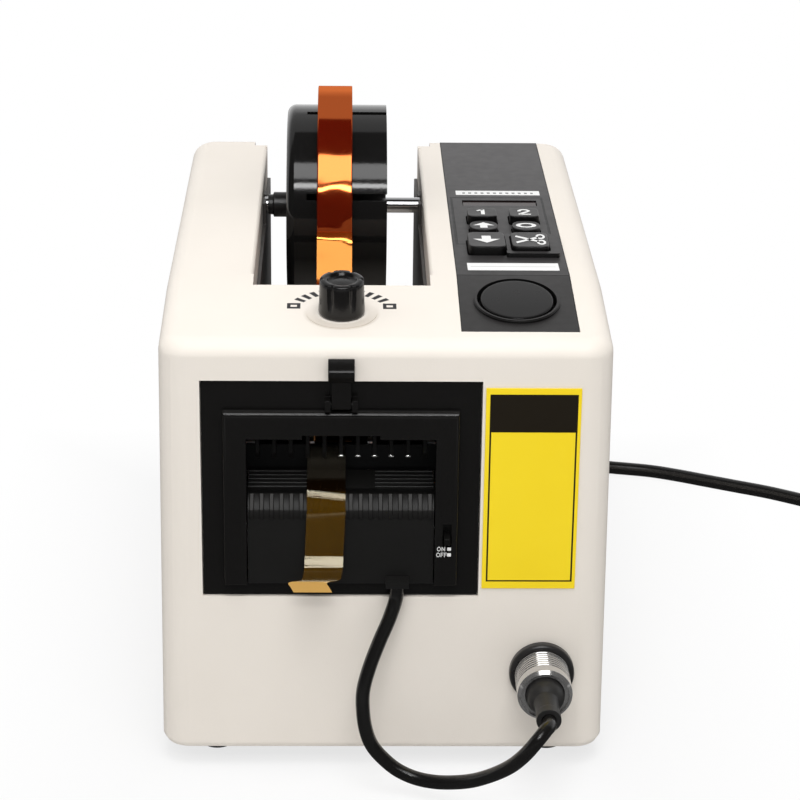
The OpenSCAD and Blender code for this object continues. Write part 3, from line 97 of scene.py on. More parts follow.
class Sock:
    """One output of a tree's nodes. Arithmetic on it adds Math nodes, with plain numbers on either side."""

    def __init__(self, nodes, socket):
        self.nodes = nodes
        self.socket = socket

    def math(self, operation, a, b=0.0, clamp=False):
        return self.nodes.node("Math", {"operation": operation, "use_clamp": clamp}, {0: a, 1: b})

    def __add__(self, other):
        return self.math("ADD", self, other)

    def __sub__(self, other):
        return self.math("SUBTRACT", self, other)

    def __rsub__(self, other):
        return self.math("SUBTRACT", other, self)

    def __mul__(self, other):
        return self.math("MULTIPLY", self, other)

    def __truediv__(self, other):
        return self.math("DIVIDE", self, other)

    def __pow__(self, other):
        return self.math("POWER", self, other)

    def __mod__(self, other):
        return self.math("FLOORED_MODULO", self, other)

    __radd__, __rmul__ = __add__, __mul__

    def abs(self):
        return self.math("ABSOLUTE", self)

    def clip(self):
        return self.math("ADD", self, 0.0, True)

    def most(self, other):
        return self.math("MAXIMUM", self, other)

    def rise(self, start, end):
        """0 at start and 1 at end, straight in between and level beyond them."""
        return ((self - start) / (end - start)).clip()

    def over(self, low, soft=0.00008):
        """1 above low and 0 below it, with an edge that is `soft` wide."""
        return ((self - low) / soft + 0.5).clip()

    def under(self, high, soft=0.00008):
        """1 below high and 0 above it, with an edge that is `soft` wide."""
        return ((high - self) / soft + 0.5).clip()

    def within(self, low, high, soft=0.00008):
        """1 between low and high and 0 outside, with edges that are `soft` wide."""
        return self.over(low, soft) * self.under(high, soft)


class Nodes:
    """A node tree, of a material or of the world."""

    def __init__(self, tree):
        self.tree = tree

    def node(self, kind, settings, sockets, out=0):
        """Any node: its settings first, then its sockets' values or links; gives back one of its outputs."""
        made = self.tree.nodes.new("ShaderNode" + kind)
        for key, value in settings.items():
            setattr(made, key, value)
        for key, value in sockets.items():
            if isinstance(value, Sock):
                self.tree.links.new(value.socket, made.inputs[key])
            else:
                colour = made.inputs[key].type == "RGBA" and isinstance(value, tuple)
                made.inputs[key].default_value = (*value, 1) if colour else value
        return Sock(self, made.outputs[out])

    def parts(self, vector):
        """The X, Y and Z of a vector."""
        split = self.node("SeparateXYZ", {}, {0: vector}).socket.node
        return [Sock(self, out) for out in split.outputs]

    def ray(self, kind):
        """1 for rays of one kind, such as Camera or Glossy, and 0 for the others."""
        return self.node("LightPath", {}, {}, f"Is {kind} Ray")


class Finish(Nodes):
    """A material. Numbers that hold all over go on the shader's own sockets; what varies is fed as a Sock."""

    def __init__(self, name, **fixed):
        self.material = bpy.data.materials.new(name)
        self.material.use_nodes = True
        super().__init__(self.material.node_tree)
        self.shader = self.tree.nodes["Principled BSDF"]
        for key, value in fixed.items():
            socket = self.shader.inputs[key.replace("_", " ")]
            socket.default_value = (*value, 1) if isinstance(value, tuple) else value
        self.place = self.node("TexCoord", {}, {}, "Object")
        self.x, self.y, self.z = self.parts(self.place)

    def facing_up(self):
        """1 where the surface is a level top, 0 where it is a wall."""
        return self.parts(self.node("TexCoord", {}, {}, "Normal"))[2]

    def noise(self, scale, detail=2.0, at=None):
        """Cloudy grey from 0 to 1, `scale` lumps to the metre."""
        sockets = {"Vector": at or self.place, "Scale": scale, "Detail": detail}
        return self.node("TexNoise", {}, sockets, "Fac")

    def mix(self, share, first, second):
        """Colour that goes from first to second as share goes from 0 to 1."""
        return self.node("Mix", {"data_type": "RGBA"}, {0: share, 6: first, 7: second}, 2)

    def clouded(self, first, second, scale, detail=2.0, at=None):
        """Colour that drifts between two shades in cloudy patches."""
        return self.mix(self.noise(scale, detail, at), first, second)

    def feed(self, socket, value):
        """Lets a Sock drive one of the shader's sockets."""
        self.tree.links.new(value.socket, self.shader.inputs[socket])

    def gloss(self, least, spread, scale, detail=2.0, at=None):
        """Roughness from least to least + spread, in cloudy patches."""
        self.feed("Roughness", self.noise(scale, detail, at) * spread + least)

    def bump(self, height, depth):
        """Relief of `depth` metres, from a height that runs from 0 to 1."""
        self.feed("Normal", self.node("Bump", {}, {"Strength": 1.0, "Distance": depth, "Height": height}))

    def grained(self, rough, spread, grain=1500.0, depth=0.00003):
        """Skin of a moulding: gloss uneven about `rough`, and fine spark-eroded grain."""
        self.gloss(rough - spread / 2, spread, 160.0, 3.0)
        self.bump(self.noise(grain), depth)
        return self

    def moulded(self, colour, shade, rough, spread, grain=1500.0, depth=0.00003):
        """Whole moulding: a colour with faint cloudiness under a grained skin."""
        self.feed("Base Color", self.clouded(shade, colour, 38.0, 3.0))
        return self.grained(rough, spread, grain, depth)


def link(name, data, finish, body):
    """A mesh or curve as a piece with its finish, riding on a body when one is given."""
    piece = bpy.data.objects.new(name, data)
    bpy.context.scene.collection.objects.link(piece)
    data.materials.append(finish.material)
    if body:
        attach(piece, body)
    return piece


def shade_round(work, round_under):
    """Shades a mesh round, apart from the edges that turn by `round_under` degrees or more."""
    for edge in work.edges:
        edge.smooth = edge.calc_face_angle(0) < math.radians(round_under)
    for face in work.faces:
        face.smooth = True


def shell(node, finish, ease=0.0, round_under=32, steps=2):
    """Copy of a CAD solid's own surface where it is: triangles merged, flat faces joined, and the edges that
    turn by `round_under` degrees or more eased by a moulded radius in millimetres."""
    source = frame["nodes"][node].data
    mesh = bpy.data.meshes.new(node + "_shell")
    points = np.empty(len(source.vertices) * 3)
    source.vertices.foreach_get("co", points)
    corners = np.empty(len(source.loops), dtype=np.int32)
    source.loops.foreach_get("vertex_index", corners)
    mesh.from_pydata(points.reshape(-1, 3), [], corners.reshape(-1, 3))
    work = bmesh.new()
    work.from_mesh(mesh)
    bmesh.ops.remove_doubles(work, verts=work.verts, dist=0.003 * MM)
    bmesh.ops.dissolve_limit(work, angle_limit=math.radians(0.4), verts=work.verts, edges=work.edges)
    shade_round(work, round_under)
    work.to_mesh(mesh)
    work.free()
    piece = link(node + "_shell", mesh, finish, frame["nodes"][node]["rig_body"])
    if ease:
        edges = piece.modifiers.new("eased_edges", "BEVEL")
        edges.width = ease * MM
        edges.segments = steps
        edges.limit_method = "ANGLE"
        edges.angle_limit = math.radians(round_under)
        edges.harden_normals = True
    flats = piece.modifiers.new("flat_faces", "WEIGHTED_NORMAL")
    flats.keep_sharp = True
    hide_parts(node)
    return piece


def smooth_route(points, per=10):
    """Catmull-Rom curve through the points, `per` steps to a span: a cubic in t of each four neighbours."""
    p = np.vstack([2 * points[0] - points[1], points, 2 * points[-1] - points[-2]])
    t = (np.arange(per) / per)[None, :, None]
    a, b, c, d = (p[i:len(p) - 3 + i, None, :] for i in range(4))
    square = (2 * a - 5 * b + 4 * c - d) * t ** 2
    cube = (3 * b - a - 3 * c + d) * t ** 3
    spans = 0.5 * (2 * b + (c - a) * t + square + cube)
    return np.vstack([spans.reshape(-1, 3), points[-1]])


def lead(name, path, diameter, finish, body):
    """Round jacket carried along a path: a poly spline with a round bevel."""
    curve = bpy.data.curves.new(name, "CURVE")
    curve.dimensions = "3D"
    curve.bevel_depth = diameter / 2
    curve.bevel_resolution = 6
    curve.use_fill_caps = True
    spline = curve.splines.new("POLY")
    spline.points.add(len(path) - 1)
    spline.points.foreach_set("co", np.hstack([path, np.ones((len(path), 1))]).ravel())
    spline.use_smooth = True
    return link(name, curve, finish, body)


cord_pvc = Finish("cord_pvc", IOR=1.5).moulded(
    (0.007, 0.0066, 0.0062), (0.0045, 0.0042, 0.004), rough=0.24, spread=0.10, grain=900.0, depth=0.00001)
soft_black = Finish("soft_black", IOR=1.5).moulded(
    (0.02, 0.019, 0.0185), (0.013, 0.0125, 0.012), rough=0.5, spread=0.15)

boot_tip = np.array([50.5, front_y - 33.5, line_h + 31.6])
collar_mid = np.array([4.0, front_y - 2.6, line_h + 62.8])
cable_route = np.array([
    boot_tip + [0, cable_d, 0], boot_tip, boot_tip + [-0.2, -3.5, 0.2],
    [49, -146, 34.5], [46.5, -148.5, 32.5], [43, -148, 27.5], [39, -144.5, 21.5], [34, -140, 16],
    [28, -135, 11], [22, -131, 8], [16, -128, 6.5], [10, -125.5, 6.5], [4.5, -124, 8.5], [0, -123, 12],
    [-3.5, -122, 16], [-5.5, -121.5, 21], [-6.5, -120.5, 27], [-6.5, -119, 34], [-4.5, -117, 41.5],
    [-1.5, -114.5, 49], [1.5, -112, 55.5], collar_mid - [0.4, 0.5, cable_d], collar_mid])
cable_path = smooth_route(cable_route) * MM
cutter_cable = lead("cutter_cable", cable_path, cable_d * MM, cord_pvc, "machine")
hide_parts("front_cable")

lie_z = cord_d / 2
gland_tip = np.array([22.0, rear_y + 22, line_h + 24])
coil_start = np.array([198.0, 88.0])
coil_turn = math.radians(237.3)
coil_outer = 40.0
coil_layer = 3
coil_pitch = cord_d + 0.6
coil_in = np.array([-math.sin(coil_turn), math.cos(coil_turn)])
coil_mid = coil_start - coil_outer * np.array([math.cos(coil_turn), math.sin(coil_turn)])
cord_route = np.array([
    gland_tip, gland_tip + [0, cord_d, 0], [22.5, 140, 25.5], [25, 147, 21.5], [30, 152.5, 16],
    [38, 156, 10.5], [48, 156, 6], [59, 152.5, lie_z + 0.8], [71, 147, lie_z], [84, 142, lie_z],
    [98, 138.5, lie_z], [113, 135, lie_z], [124, 130.5, lie_z], [135, 125, lie_z], [147, 119, lie_z],
    [159, 113, lie_z], [171, 105.5, lie_z], [180, 99.5, lie_z],
    [*(coil_start - coil_in * cord_d * 2), lie_z], [*(coil_start - coil_in * cord_d), lie_z]])

# The coil winds in over its first layer, climbs by one pitch and winds out again over the second.
coil_turns = 2 * coil_layer + 0.5
wound = np.arange(0, coil_turns + 1e-9, 1 / 48)
coil_r = coil_outer - coil_pitch * np.minimum(wound, coil_turns - wound)
climb = (1 - np.cos(np.pi * np.clip((wound - coil_layer) * 2, 0, 1))) / 2
coil_angle = coil_turn + 2 * np.pi * wound
coil_path = np.stack([coil_mid[0] + coil_r * np.cos(coil_angle), coil_mid[1] + coil_r * np.sin(coil_angle),
                      lie_z + coil_pitch * climb], axis=1)
coil_out = np.array([-math.sin(coil_angle[-1]), math.cos(coil_angle[-1]), 0])
cord_path = np.vstack([smooth_route(cord_route), coil_path, coil_path[-1] + coil_out * cord_d]) * MM
mains_cord = lead("mains_cord", cord_path, cord_d * MM, cord_pvc, "machine")
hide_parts("power_cord", "power_cord_coil")

coil_strap = shell("cord_tie", soft_black, 0.2)
mains_plug = shell("power_plug", soft_black, 0.8, 40, 3)
plug_grip = shell("plug_boot", soft_black, 0.25)
shell("cord_gland", soft_black, 0.2)

# Housing: one cream moulding with two arms round the reel gap, in ABS with a fine satin grain, closed below
# by a zinc-plated plate on rubber feet. The speed scale is printed on the deck: an arc of plain marks round
# the knob with a box at each end. Painted shade darkens a ring round the knob, most at the front.
line_x = -13.75
knob_back = 21.5
cream_abs = Finish("cream_abs", IOR=1.42)
deck_x = cream_abs.x - line_x * MM
deck_y = cream_abs.y - (front_y + knob_back) * MM
deck_top = cream_abs.z.within(0.140, 0.160, 0.001)
from_knob = (deck_x * deck_x + deck_y * deck_y) ** 0.5
bearing = cream_abs.node("Math", {"operation": "ARCTAN2"}, {0: deck_x, 1: deck_y})
mark_step, mark_half = 0.19, 0.27
mark = ((bearing / mark_step + 0.5) % 1.0 - 0.5).abs().under(mark_half, 0.05)
arc = from_knob.within(0.0142, 0.0178) * bearing.abs().within(0.40, 1.0, 0.01)
box_x = (deck_x.abs() - 0.0150).abs()
box_y = (deck_y - 0.0051).abs()
boxes = box_x.under(0.0021) * box_y.under(0.0020) - box_x.under(0.0010) * box_y.under(0.0007)
ink = (mark * arc).most(boxes) * deck_top
# Painted shade: a darker ring round the knob, stronger towards the front of the deck.
knob_ring_painted_shade = from_knob.within(0.0080, 0.0117, 0.0010) * deck_top * deck_y.rise(0.006, -0.006)
cream = cream_abs.clouded((0.742, 0.688, 0.618), (0.792, 0.738, 0.672), 26.0, 4.0)
cream = cream_abs.mix(knob_ring_painted_shade * 0.55, cream, (0.50, 0.44, 0.37))
cream_abs.feed("Base Color", cream_abs.mix(ink.clip(), cream, (0.016, 0.016, 0.018)))
cream_abs.gloss(0.42, 0.10, 180.0, 3.0)
cream_abs.bump(cream_abs.noise(1900.0), 0.00002)
shell("main_housing", cream_abs, round_under=38)
zinc = Finish("zinc_plate", Metallic=0.8).moulded(
    (0.42, 0.41, 0.39), (0.34, 0.33, 0.31), rough=0.42, spread=0.2, grain=420.0)
foot_rubber = Finish("foot_rubber", IOR=1.45).moulded(
    (0.024, 0.023, 0.022), (0.016, 0.016, 0.015), rough=0.62, spread=0.15)
shell("base_plate", zinc, 0.2)
shell("rubber_feet", foot_rubber, 0.25)

# Axle holders: dark painted steel plates on both walls of the reel gap. Each has an open slot from above,
# into which the axle's end drops.
holder_paint = Finish("holder_paint", IOR=1.5).moulded(
    (0.060, 0.055, 0.052), (0.042, 0.038, 0.036), rough=0.45, spread=0.2, grain=700.0)
shell("axle_holder_left", holder_paint, 0.15)
shell("axle_holder_right", holder_paint, 0.15)

# Axle: polished chrome rod across the gap, which lies loose in the holders' slots. A black stepped collar
# is pushed on it left of the drum.
chrome = Finish("chrome", Metallic=1.0)
chrome.feed("Base Color", chrome.clouded((0.64, 0.64, 0.65), (0.74, 0.74, 0.75), 60.0))
chrome.gloss(0.06, 0.08, 240.0, 3.0)
collar_black = Finish("collar_black", IOR=1.5).moulded(
    (0.018, 0.017, 0.017), (0.012, 0.011, 0.011), rough=0.30, spread=0.14)
shell("reel_axle", chrome, 0.3)
shell("axle_collar", collar_black, 0.35, steps=3)

# Reel drum: black glossy moulded drum that turns on the axle. Slots split it into sprung fingers, which
# grip the core of the tape.
drum_black = Finish("drum_black", IOR=1.5).moulded(
    (0.008, 0.0077, 0.0075), (0.0055, 0.0053, 0.0052), rough=0.10, spread=0.06, grain=800.0, depth=0.00001)
shell("reel_drum", drum_black, 0.3, steps=3)


# Tape: amber film wound on a card core. The roll shows its film as a mirror-smooth amber skin, with the
# edges of its layers at the sides. One layer peels off and sags to the inlet at the front of the gap, and
# the cut strip hangs out of the mouth, thin enough for what is behind it to show through.
def surface(name, grid, finish, body, round_under=40, caps=True):
    """Mesh of rings of points, shaped (rings, points, 3): quads between rings that close on themselves, with
    the first and last ring filled, faces turned outwards, edges under `round_under` degrees shaded round."""
    rings, count = grid.shape[:2]
    i, j = np.meshgrid(np.arange(rings - 1), np.arange(count), indexing="ij")
    a, b = i * count + j, i * count + (j + 1) % count
    faces = np.stack([a, b, b + count, a + count], axis=-1).reshape(-1, 4).tolist()
    if caps:
        faces += [list(range(count)), list(range((rings - 1) * count, rings * count))]
    mesh = bpy.data.meshes.new(name)
    mesh.from_pydata(grid.reshape(-1, 3), [], faces)
    work = bmesh.new()
    work.from_mesh(mesh)
    bmesh.ops.remove_doubles(work, verts=work.verts, dist=0.001 * MM)
    bmesh.ops.recalc_face_normals(work, faces=work.faces)
    shade_round(work, round_under)
    work.to_mesh(mesh)
    work.free()
    return link(name, mesh, finish, body)


def revolve(profile, centre, axis, count=96):
    """Rings of a turned piece: each (radius, along) of the profile carried round an axis at the centre."""
    turn = np.linspace(0, 2 * np.pi, count, endpoint=False)
    radius, along = np.array(profile, float).T[:, :, None]
    along = along + 0 * turn
    one, other = radius * np.cos(turn), radius * np.sin(turn)
    order = {"X": [along, one, other], "Y": [other, along, one], "Z": [one, other, along]}
    return np.stack(order[axis], axis=-1) * MM + np.array(centre) * MM


def film(left, right, shift, width, thick):
    """Rings of a strip: a path in the Y-Z plane for its left edge and one for its right edge, the section
    between them a flat oblong with thinned sides, the whole moved sideways by shift."""
    ahead = np.gradient((left + right) / 2, axis=0)
    ahead /= np.linalg.norm(ahead, axis=1)[:, None]
    normal = np.stack([-ahead[:, 1], ahead[:, 0]], axis=1)
    across = np.linspace(0, 1, 17)
    half = thick / 2 * np.minimum(1, np.minimum(across, 1 - across) * 24 + 0.2)
    share = np.concatenate([across, across[::-1]])
    rise = np.concatenate([half, -half[::-1]])
    side = shift[:, None] + (share - 0.5) * width
    flat = left[:, None] + (right - left)[:, None] * share[:, None] + normal[:, None] * rise[:, None]
    return np.concatenate([side[..., None], flat], axis=-1) * MM


tape_x, tape_w, film_t = -16.35, 12.0, 0.12
roll_r, core_r, core_t = 42.25, 35.7, 2.5
axle_y, axle_z = 43.5, 144.0
amber_roll = Finish("amber_roll", IOR=7.0, Specular_Tint=(1.0, 0.27, 0.07))
amber_roll.feed("Base Color", amber_roll.clouded((0.125, 0.0015, 0.0005), (0.170, 0.0025, 0.0008), 30.0))
amber_roll.gloss(0.06, 0.06, 200.0)
off_y = amber_roll.y - axle_y * MM
off_z = amber_roll.z - axle_z * MM
layer_r = (off_y * off_y + off_z * off_z) ** 0.5
layer_t = 0.00035
layer_edges = (layer_r / layer_t % 1.0) * (1 - layer_r.within(0.0420, 0.0430, 0.0002))
slack = amber_roll.z.rise(0.168, 0.156) * 2.3 + 0.3
amber_roll.bump(layer_edges * 0.12 + amber_roll.noise(90.0, 0.5) * slack, 0.0006)
half_w = tape_w / 2
bore_r = core_r + core_t
shoulder = np.array([(-0.25, 0), (-0.07, 0.07), (0, 0.25), (0, 0.5)])
roll_profile = np.vstack([(bore_r, -half_w), shoulder + [roll_r, -half_w],
                          (shoulder * [1, -1] + [roll_r, half_w])[::-1], (bore_r, half_w), (bore_r, -half_w)])
roll_grid = revolve(roll_profile, (tape_x, axle_y, axle_z), "X", 160)
wound_tape = surface("wound_tape", roll_grid, amber_roll, "reel", caps=False)
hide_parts("tape_roll")
card = Finish("core_card", IOR=1.45).moulded(
    (0.50, 0.40, 0.25), (0.42, 0.33, 0.20), rough=0.75, spread=0.2, grain=600.0, depth=0.0001)
shell("tape_core", card, 0.15)

amber_span = Finish("amber_span", IOR=3.4, Specular_Tint=(1.0, 0.40, 0.09))
# Painted shade: the span turns near black where it runs into the inlet and the throat.
outside = amber_span.y.over((front_y + 44) * MM, 0.002)
amber = amber_span.clouded((0.17, 0.018, 0.002), (0.24, 0.034, 0.003), 40.0)
amber_span.feed("Base Color", amber_span.mix(outside, (0.006, 0.002, 0.001), amber))
amber_span.gloss(0.06, 0.05, 150.0)
amber_span.feed("Alpha", amber_span.noise(25.0) * 0.06 + 0.90)
ripple = amber_span.z.rise(0.138, 0.144) * 1.2 + 0.4
amber_span.bump(amber_span.noise(95.0, 1.0) * ripple, 0.0005)

path_z = line_h + 104.0
inlet = np.array([front_y + 46, path_z + 3.4])
peel_r, peel_turn = roll_r + 0.3, math.radians(176)
peel = np.array([axle_y, axle_z]) + peel_r * np.array([math.cos(peel_turn), math.sin(peel_turn)])
fall_run, fall_slope = np.array([(2.6, 1.18), (15, 0.97), (27, 0.93)]).T
fall = peel - fall_run[:, None] * np.stack([np.cos(fall_slope), np.sin(fall_slope)], axis=1)
bow = np.array([front_y + 73, path_z + 6])
t = np.linspace(0, 1, 49)[:, None]
straight = fall[0] + (fall[1] - fall[0]) * np.linspace(0.1, 0.95, 8)[:, None]
sag = (1 - t) ** 3 * fall[1] + 3 * t * (1 - t) ** 2 * fall[2] + 3 * t ** 2 * (1 - t) * bow + t ** 3 * inlet
throat = [[front_y + 33.8, path_z], [front_y + 16.4, path_z]]
lead_path = np.vstack([peel, fall[0], straight, sag, throat])
twist = np.zeros_like(lead_path)
twist[:, 1] = np.interp(np.arange(len(lead_path)), [0, 3, 12, 30], [0, 0.25, 0.25, 0])
lead_grid = film(lead_path + twist, lead_path - twist, np.full(len(lead_path), tape_x), tape_w, film_t)
tape_lead = surface("free_tape", lead_grid, amber_span, None)
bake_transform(tape_lead)
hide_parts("tape_lead")

amber_film = Finish("amber_film", IOR=1.7, Specular_Tint=(1.0, 0.93, 0.72))
# Painted shade: the strip is near black where it lies up in the mouth, above 96 mm.
mouth_painted_shade = amber_film.z.over(0.0960, 0.001)
dull = amber_film.z.over(0.0985, 0.001)
# The turned end is pale gold and opaque: partly its doubled film, partly a painted reflection.
doubled_end_and_sheen = amber_film.z.under(0.0690, 0.0003)
brown = amber_film.clouded((0.058, 0.027, 0.0006), (0.085, 0.040, 0.001), 40.0)
brown = amber_film.mix(mouth_painted_shade, brown, (0.006, 0.0025, 0.0005))
amber_film.feed("Base Color", amber_film.mix(doubled_end_and_sheen, brown, (0.46, 0.265, 0.070)))
amber_film.feed("Roughness", amber_film.noise(150.0) * 0.05 + 0.07 + dull * 0.6)
amber_film.feed("Alpha", (amber_film.noise(25.0) * 0.1 + 0.58).most(doubled_end_and_sheen))
amber_film.bump(amber_film.noise(60.0, 0.0), 0.0001)

# The cut strip drops over the lip in short facets, and its end is turned to the left.
tail_points = np.array([
    [0, 13.2, 103.5], [0, 12.7, 101.6], [0, 12.1, 99.9], [0, 11.3, 98.6], [0, 10.2, 97.7], [0, 8.5, 96.75],
    [0, 6.5, 95.8], [0, 4.5, 94.95], [0, 2.5, 94.1], [0, 1.1, 93.5], [0, 0.75, 93.28], [0, 0.44, 92.83],
    [0, 0.13, 92.38], [0, -0.18, 91.93], [0, -0.49, 91.48], [0, -0.68, 91.0], [0, -1.1, 90.0],
    [0, -1.5, 89.2], [0, -1.95, 87.6], [-0.1, -2.25, 85.8], [-0.2, -2.5, 83.0], [-0.4, -2.7, 78.5],
    [-0.55, -2.85, 74.4], [-0.6, -3.0, 73.5], [-0.65, -3.8, 72.3], [-0.7, -4.6, 71.15], [-0.75, -5.4, 70.0],
    [-0.85, -5.7, 69.2], [-1.1, -5.85, 67.9], [-1.4, -6.0, 66.6], [-2.2, -6.2, 66.2], [-5.6, -6.7, 65.7],
    [-4.9, -8.1, 64.7], [-4.0, -9.5, 63.7]])
tail_spot = [tape_x - 2, front_y, line_h]
skew_share = np.interp(np.arange(len(tail_points)), [5, 9, 17, 21], [0, 1, 1, 0])
skew = skew_share[:, None] * np.array([0, 0.45, 0.5])
left_edge = smooth_route(tail_points + skew + tail_spot, 8)
right_edge = smooth_route(tail_points - skew + tail_spot, 8)
tail_grid = film(left_edge[:, 1:], right_edge[:, 1:], left_edge[:, 0], tape_w, film_t)
tail_strip = surface("tail_strip", tail_grid, amber_film, "machine")
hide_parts("tape_tail")

# Control panel: two satin dark-grey plates let into the right arm, one flat and one on the sloping deck.
# Two white strips are printed on the flat one, bare but for a row of plain length marks and a fine rule,
# and a groove runs round the keys. A smoked window covers the display.
panel_x, top_z = 41.3, 151.0
panel_grey = Finish("panel_grey", IOR=1.45)
from_mid = panel_grey.x - panel_x * MM
along = panel_grey.y
print_face = panel_grey.z.within(0.1508, 0.1514, 0.0001)
strip_half, near_shift = 0.01485, 0.0005
from_near = (from_mid - near_shift).abs()
far_strip = from_mid.abs().under(strip_half) * along.within(0.0332, 0.0384)
near_strip = from_near.under(strip_half) * along.within(-0.0513, -0.0438)
tick_step, tick_half = 0.0022, 0.24
tick = ((from_mid / tick_step % 1.0) - 0.5).abs().under(tick_half, 0.06)
ticks = tick * from_mid.abs().under(0.0125) * along.within(0.0346, 0.0364, 0.0002)
rule = from_near.under(0.0138) * (along + 0.0475).abs().under(0.00025, 0.0001)
white = (far_strip + near_strip).clip() * (1 - ticks * 0.75) * (1 - rule * 0.35) * print_face
groove_x = (panel_grey.x - 0.0404).abs()
groove_y = (along - 0.0029).abs()
groove_out = groove_x.under(0.0163, 0.0001) * groove_y.under(0.0274, 0.0001)
groove_in = groove_x.under(0.0155, 0.0001) * groove_y.under(0.0264, 0.0001)
groove = (groove_out - groove_in) * print_face
painted_wall_shade = 1 - panel_grey.facing_up().over(0.80, 0.15)
rim = from_mid.abs().over(0.0179)
# Painted sheen: the grey lightens towards the rear, with some cloudy variation.
painted_rear_sheen = along.rise(-0.085, 0.085) + (panel_grey.noise(45.0, 4.0) - 0.5) * 0.3
grey = panel_grey.mix(painted_rear_sheen.clip(), (0.016, 0.0148, 0.0146), (0.058, 0.0555, 0.0565))
# Painted shade in the groove and on the walls; the sides beyond 17.9 mm from the middle are near black too.
grey = panel_grey.mix(groove.most(painted_wall_shade).most(rim).clip(), grey, (0.004, 0.0038, 0.0038))
panel_grey.feed("Base Color", panel_grey.mix(white.clip(), grey, (0.80, 0.80, 0.79)))
panel_grey.gloss(0.40, 0.14, 300.0, 3.0)
panel_grey.bump(panel_grey.noise(2200.0) * 0.25 - groove * 3.0, 0.00005)
shell("keypad_panel", panel_grey, 0.35, steps=3)
shell("button_panel", panel_grey, 0.35, steps=3)
smoked = Finish("smoked_window", IOR=1.3)
smoked.feed("Base Color", smoked.clouded((0.010, 0.004, 0.004), (0.018, 0.006, 0.006), 90.0))
smoked.gloss(0.12, 0.08, 220.0)
shell("display_window", smoked, 0.15)


# Keys: moulded caps with eased edges and dished tops, each on its stem in a close hole. Their white signs
# are a plain number, an arrow or crossed blades, printed on the top.
def key_rings(centre, size, oval, low, high):
    """Superellipse |x/a|^n + |y/b|^n = 1 carried up the sides, round the top edge and in over a dish."""
    turn = np.linspace(0, 2 * np.pi, 72, endpoint=False)
    power = 2.0 / (2.6 if oval else 7.0)
    ring = np.stack([np.sign(np.cos(turn)) * np.abs(np.cos(turn)) ** power,
                     np.sign(np.sin(turn)) * np.abs(np.sin(turn)) ** power], axis=1)
    ease, dish = 0.4, 0.1
    bend = np.linspace(0, np.pi / 2, 6)
    top_in = [1.1, 1.6, 2.4, 3.3, 4.1]
    inset = np.concatenate([[0, 0], ease * (1 - np.cos(bend)), top_in])
    share = np.clip((inset - ease) / (min(size) / 2 - ease), 0, 1)
    edge_up = high - ease + ease * np.sin(bend)
    height = np.concatenate([[low, high - ease - 0.4], edge_up, [high] * len(top_in)]) - dish * share ** 0.7
    reach = np.array(size) / 2 - inset[:, None]
    flat = np.array(centre) + ring[None] * reach[:, None, :]
    return np.concatenate([flat, np.broadcast_to(height[:, None, None], (*flat.shape[:2], 1))], axis=-1) * MM


def oblong(start, end, wide):
    """Corners of a straight stroke from start to end."""
    start, end = np.array(start, float), np.array(end, float)
    aside = np.array([start[1] - end[1], end[0] - start[0]]) / np.linalg.norm(end - start) * wide / 2
    return [start + aside, start - aside, end - aside, end + aside]


def hoop(centre, outer, inner, squeeze=1.0):
    """Quads of a printed ring, 24 of them between pairs of spokes, or of an oval nought when squeezed."""
    turn = np.linspace(0, 2 * np.pi, 25)
    spokes = np.stack([np.cos(turn) * squeeze, np.sin(turn)], axis=1)
    a, b = spokes[:-1], spokes[1:]
    return list(np.array(centre) + np.stack([a * outer, a * inner, b * inner, b * outer], axis=1))


def printed(name, outlines, spot, across, up, body):
    """White print: flat outlines (u, v) in millimetres carried to spot + u * across + v * up."""
    corners = np.array([point for outline in outlines for point in outline], float)
    ends = np.cumsum([0] + [len(outline) for outline in outlines])
    faces = [list(range(a, b)) for a, b in zip(ends[:-1], ends[1:])]
    mesh = bpy.data.meshes.new(name)
    mesh.from_pydata((corners @ np.array([across, up], float) + spot) * MM, [], faces)
    return link(name, mesh, print_white, body)


key_black = Finish("key_black", IOR=1.4).grained(rough=0.36, spread=0.14, grain=1600.0)
# Painted light: the level tops are a lighter grey than the near-black sides.
lit_top_grey = key_black.clouded((0.015, 0.014, 0.014), (0.020, 0.019, 0.019), 50.0)
painted_lit_tops = key_black.facing_up().over(0.75, 0.2)
key_black.feed("Base Color", key_black.mix(painted_lit_tops, (0.003, 0.0028, 0.0028), lit_top_grey))
print_white = Finish("print_white", IOR=1.5).moulded(
    (0.80, 0.80, 0.79), (0.74, 0.74, 0.73), rough=0.5, spread=0.1)
one = [oblong((0.2, -2.2), (0.2, 2.2), 1.0), oblong((0.3, 2.1), (-1.3, 1.0), 0.8)]
two = [oblong((-1.5, -1.9), (1.7, -1.9), 0.8), oblong((-1.3, -1.7), (1.3, 0.7), 0.9),
       *hoop((0, 0.9), 1.7, 0.8)[:13]]
nought = hoop((0, 0), 2.1, 1.2, 1.5)
arrow = [[(-2.6, -0.2), (0, 2.4), (2.6, -0.2), (0.9, -0.2), (0.9, -2.3), (-0.9, -2.3), (-0.9, -0.2)]]
shears = [oblong((-4.2, 1.8), (2.6, -1.2), 0.9), oblong((-4.2, -1.8), (2.6, 1.2), 0.9),
          *hoop((3.3, -1.6), 1.4, 0.7), *hoop((3.3, 1.6), 1.4, 0.7)]
unit_row, oval_row, big_row, key_dx = 109.6, 97.7, 78.9, 7.2
square, round_cap, big = ((10, 9.8), False, 3.0), ((9.4, 10.4), True, 2.0), ((12.3, 16), False, 3.0)
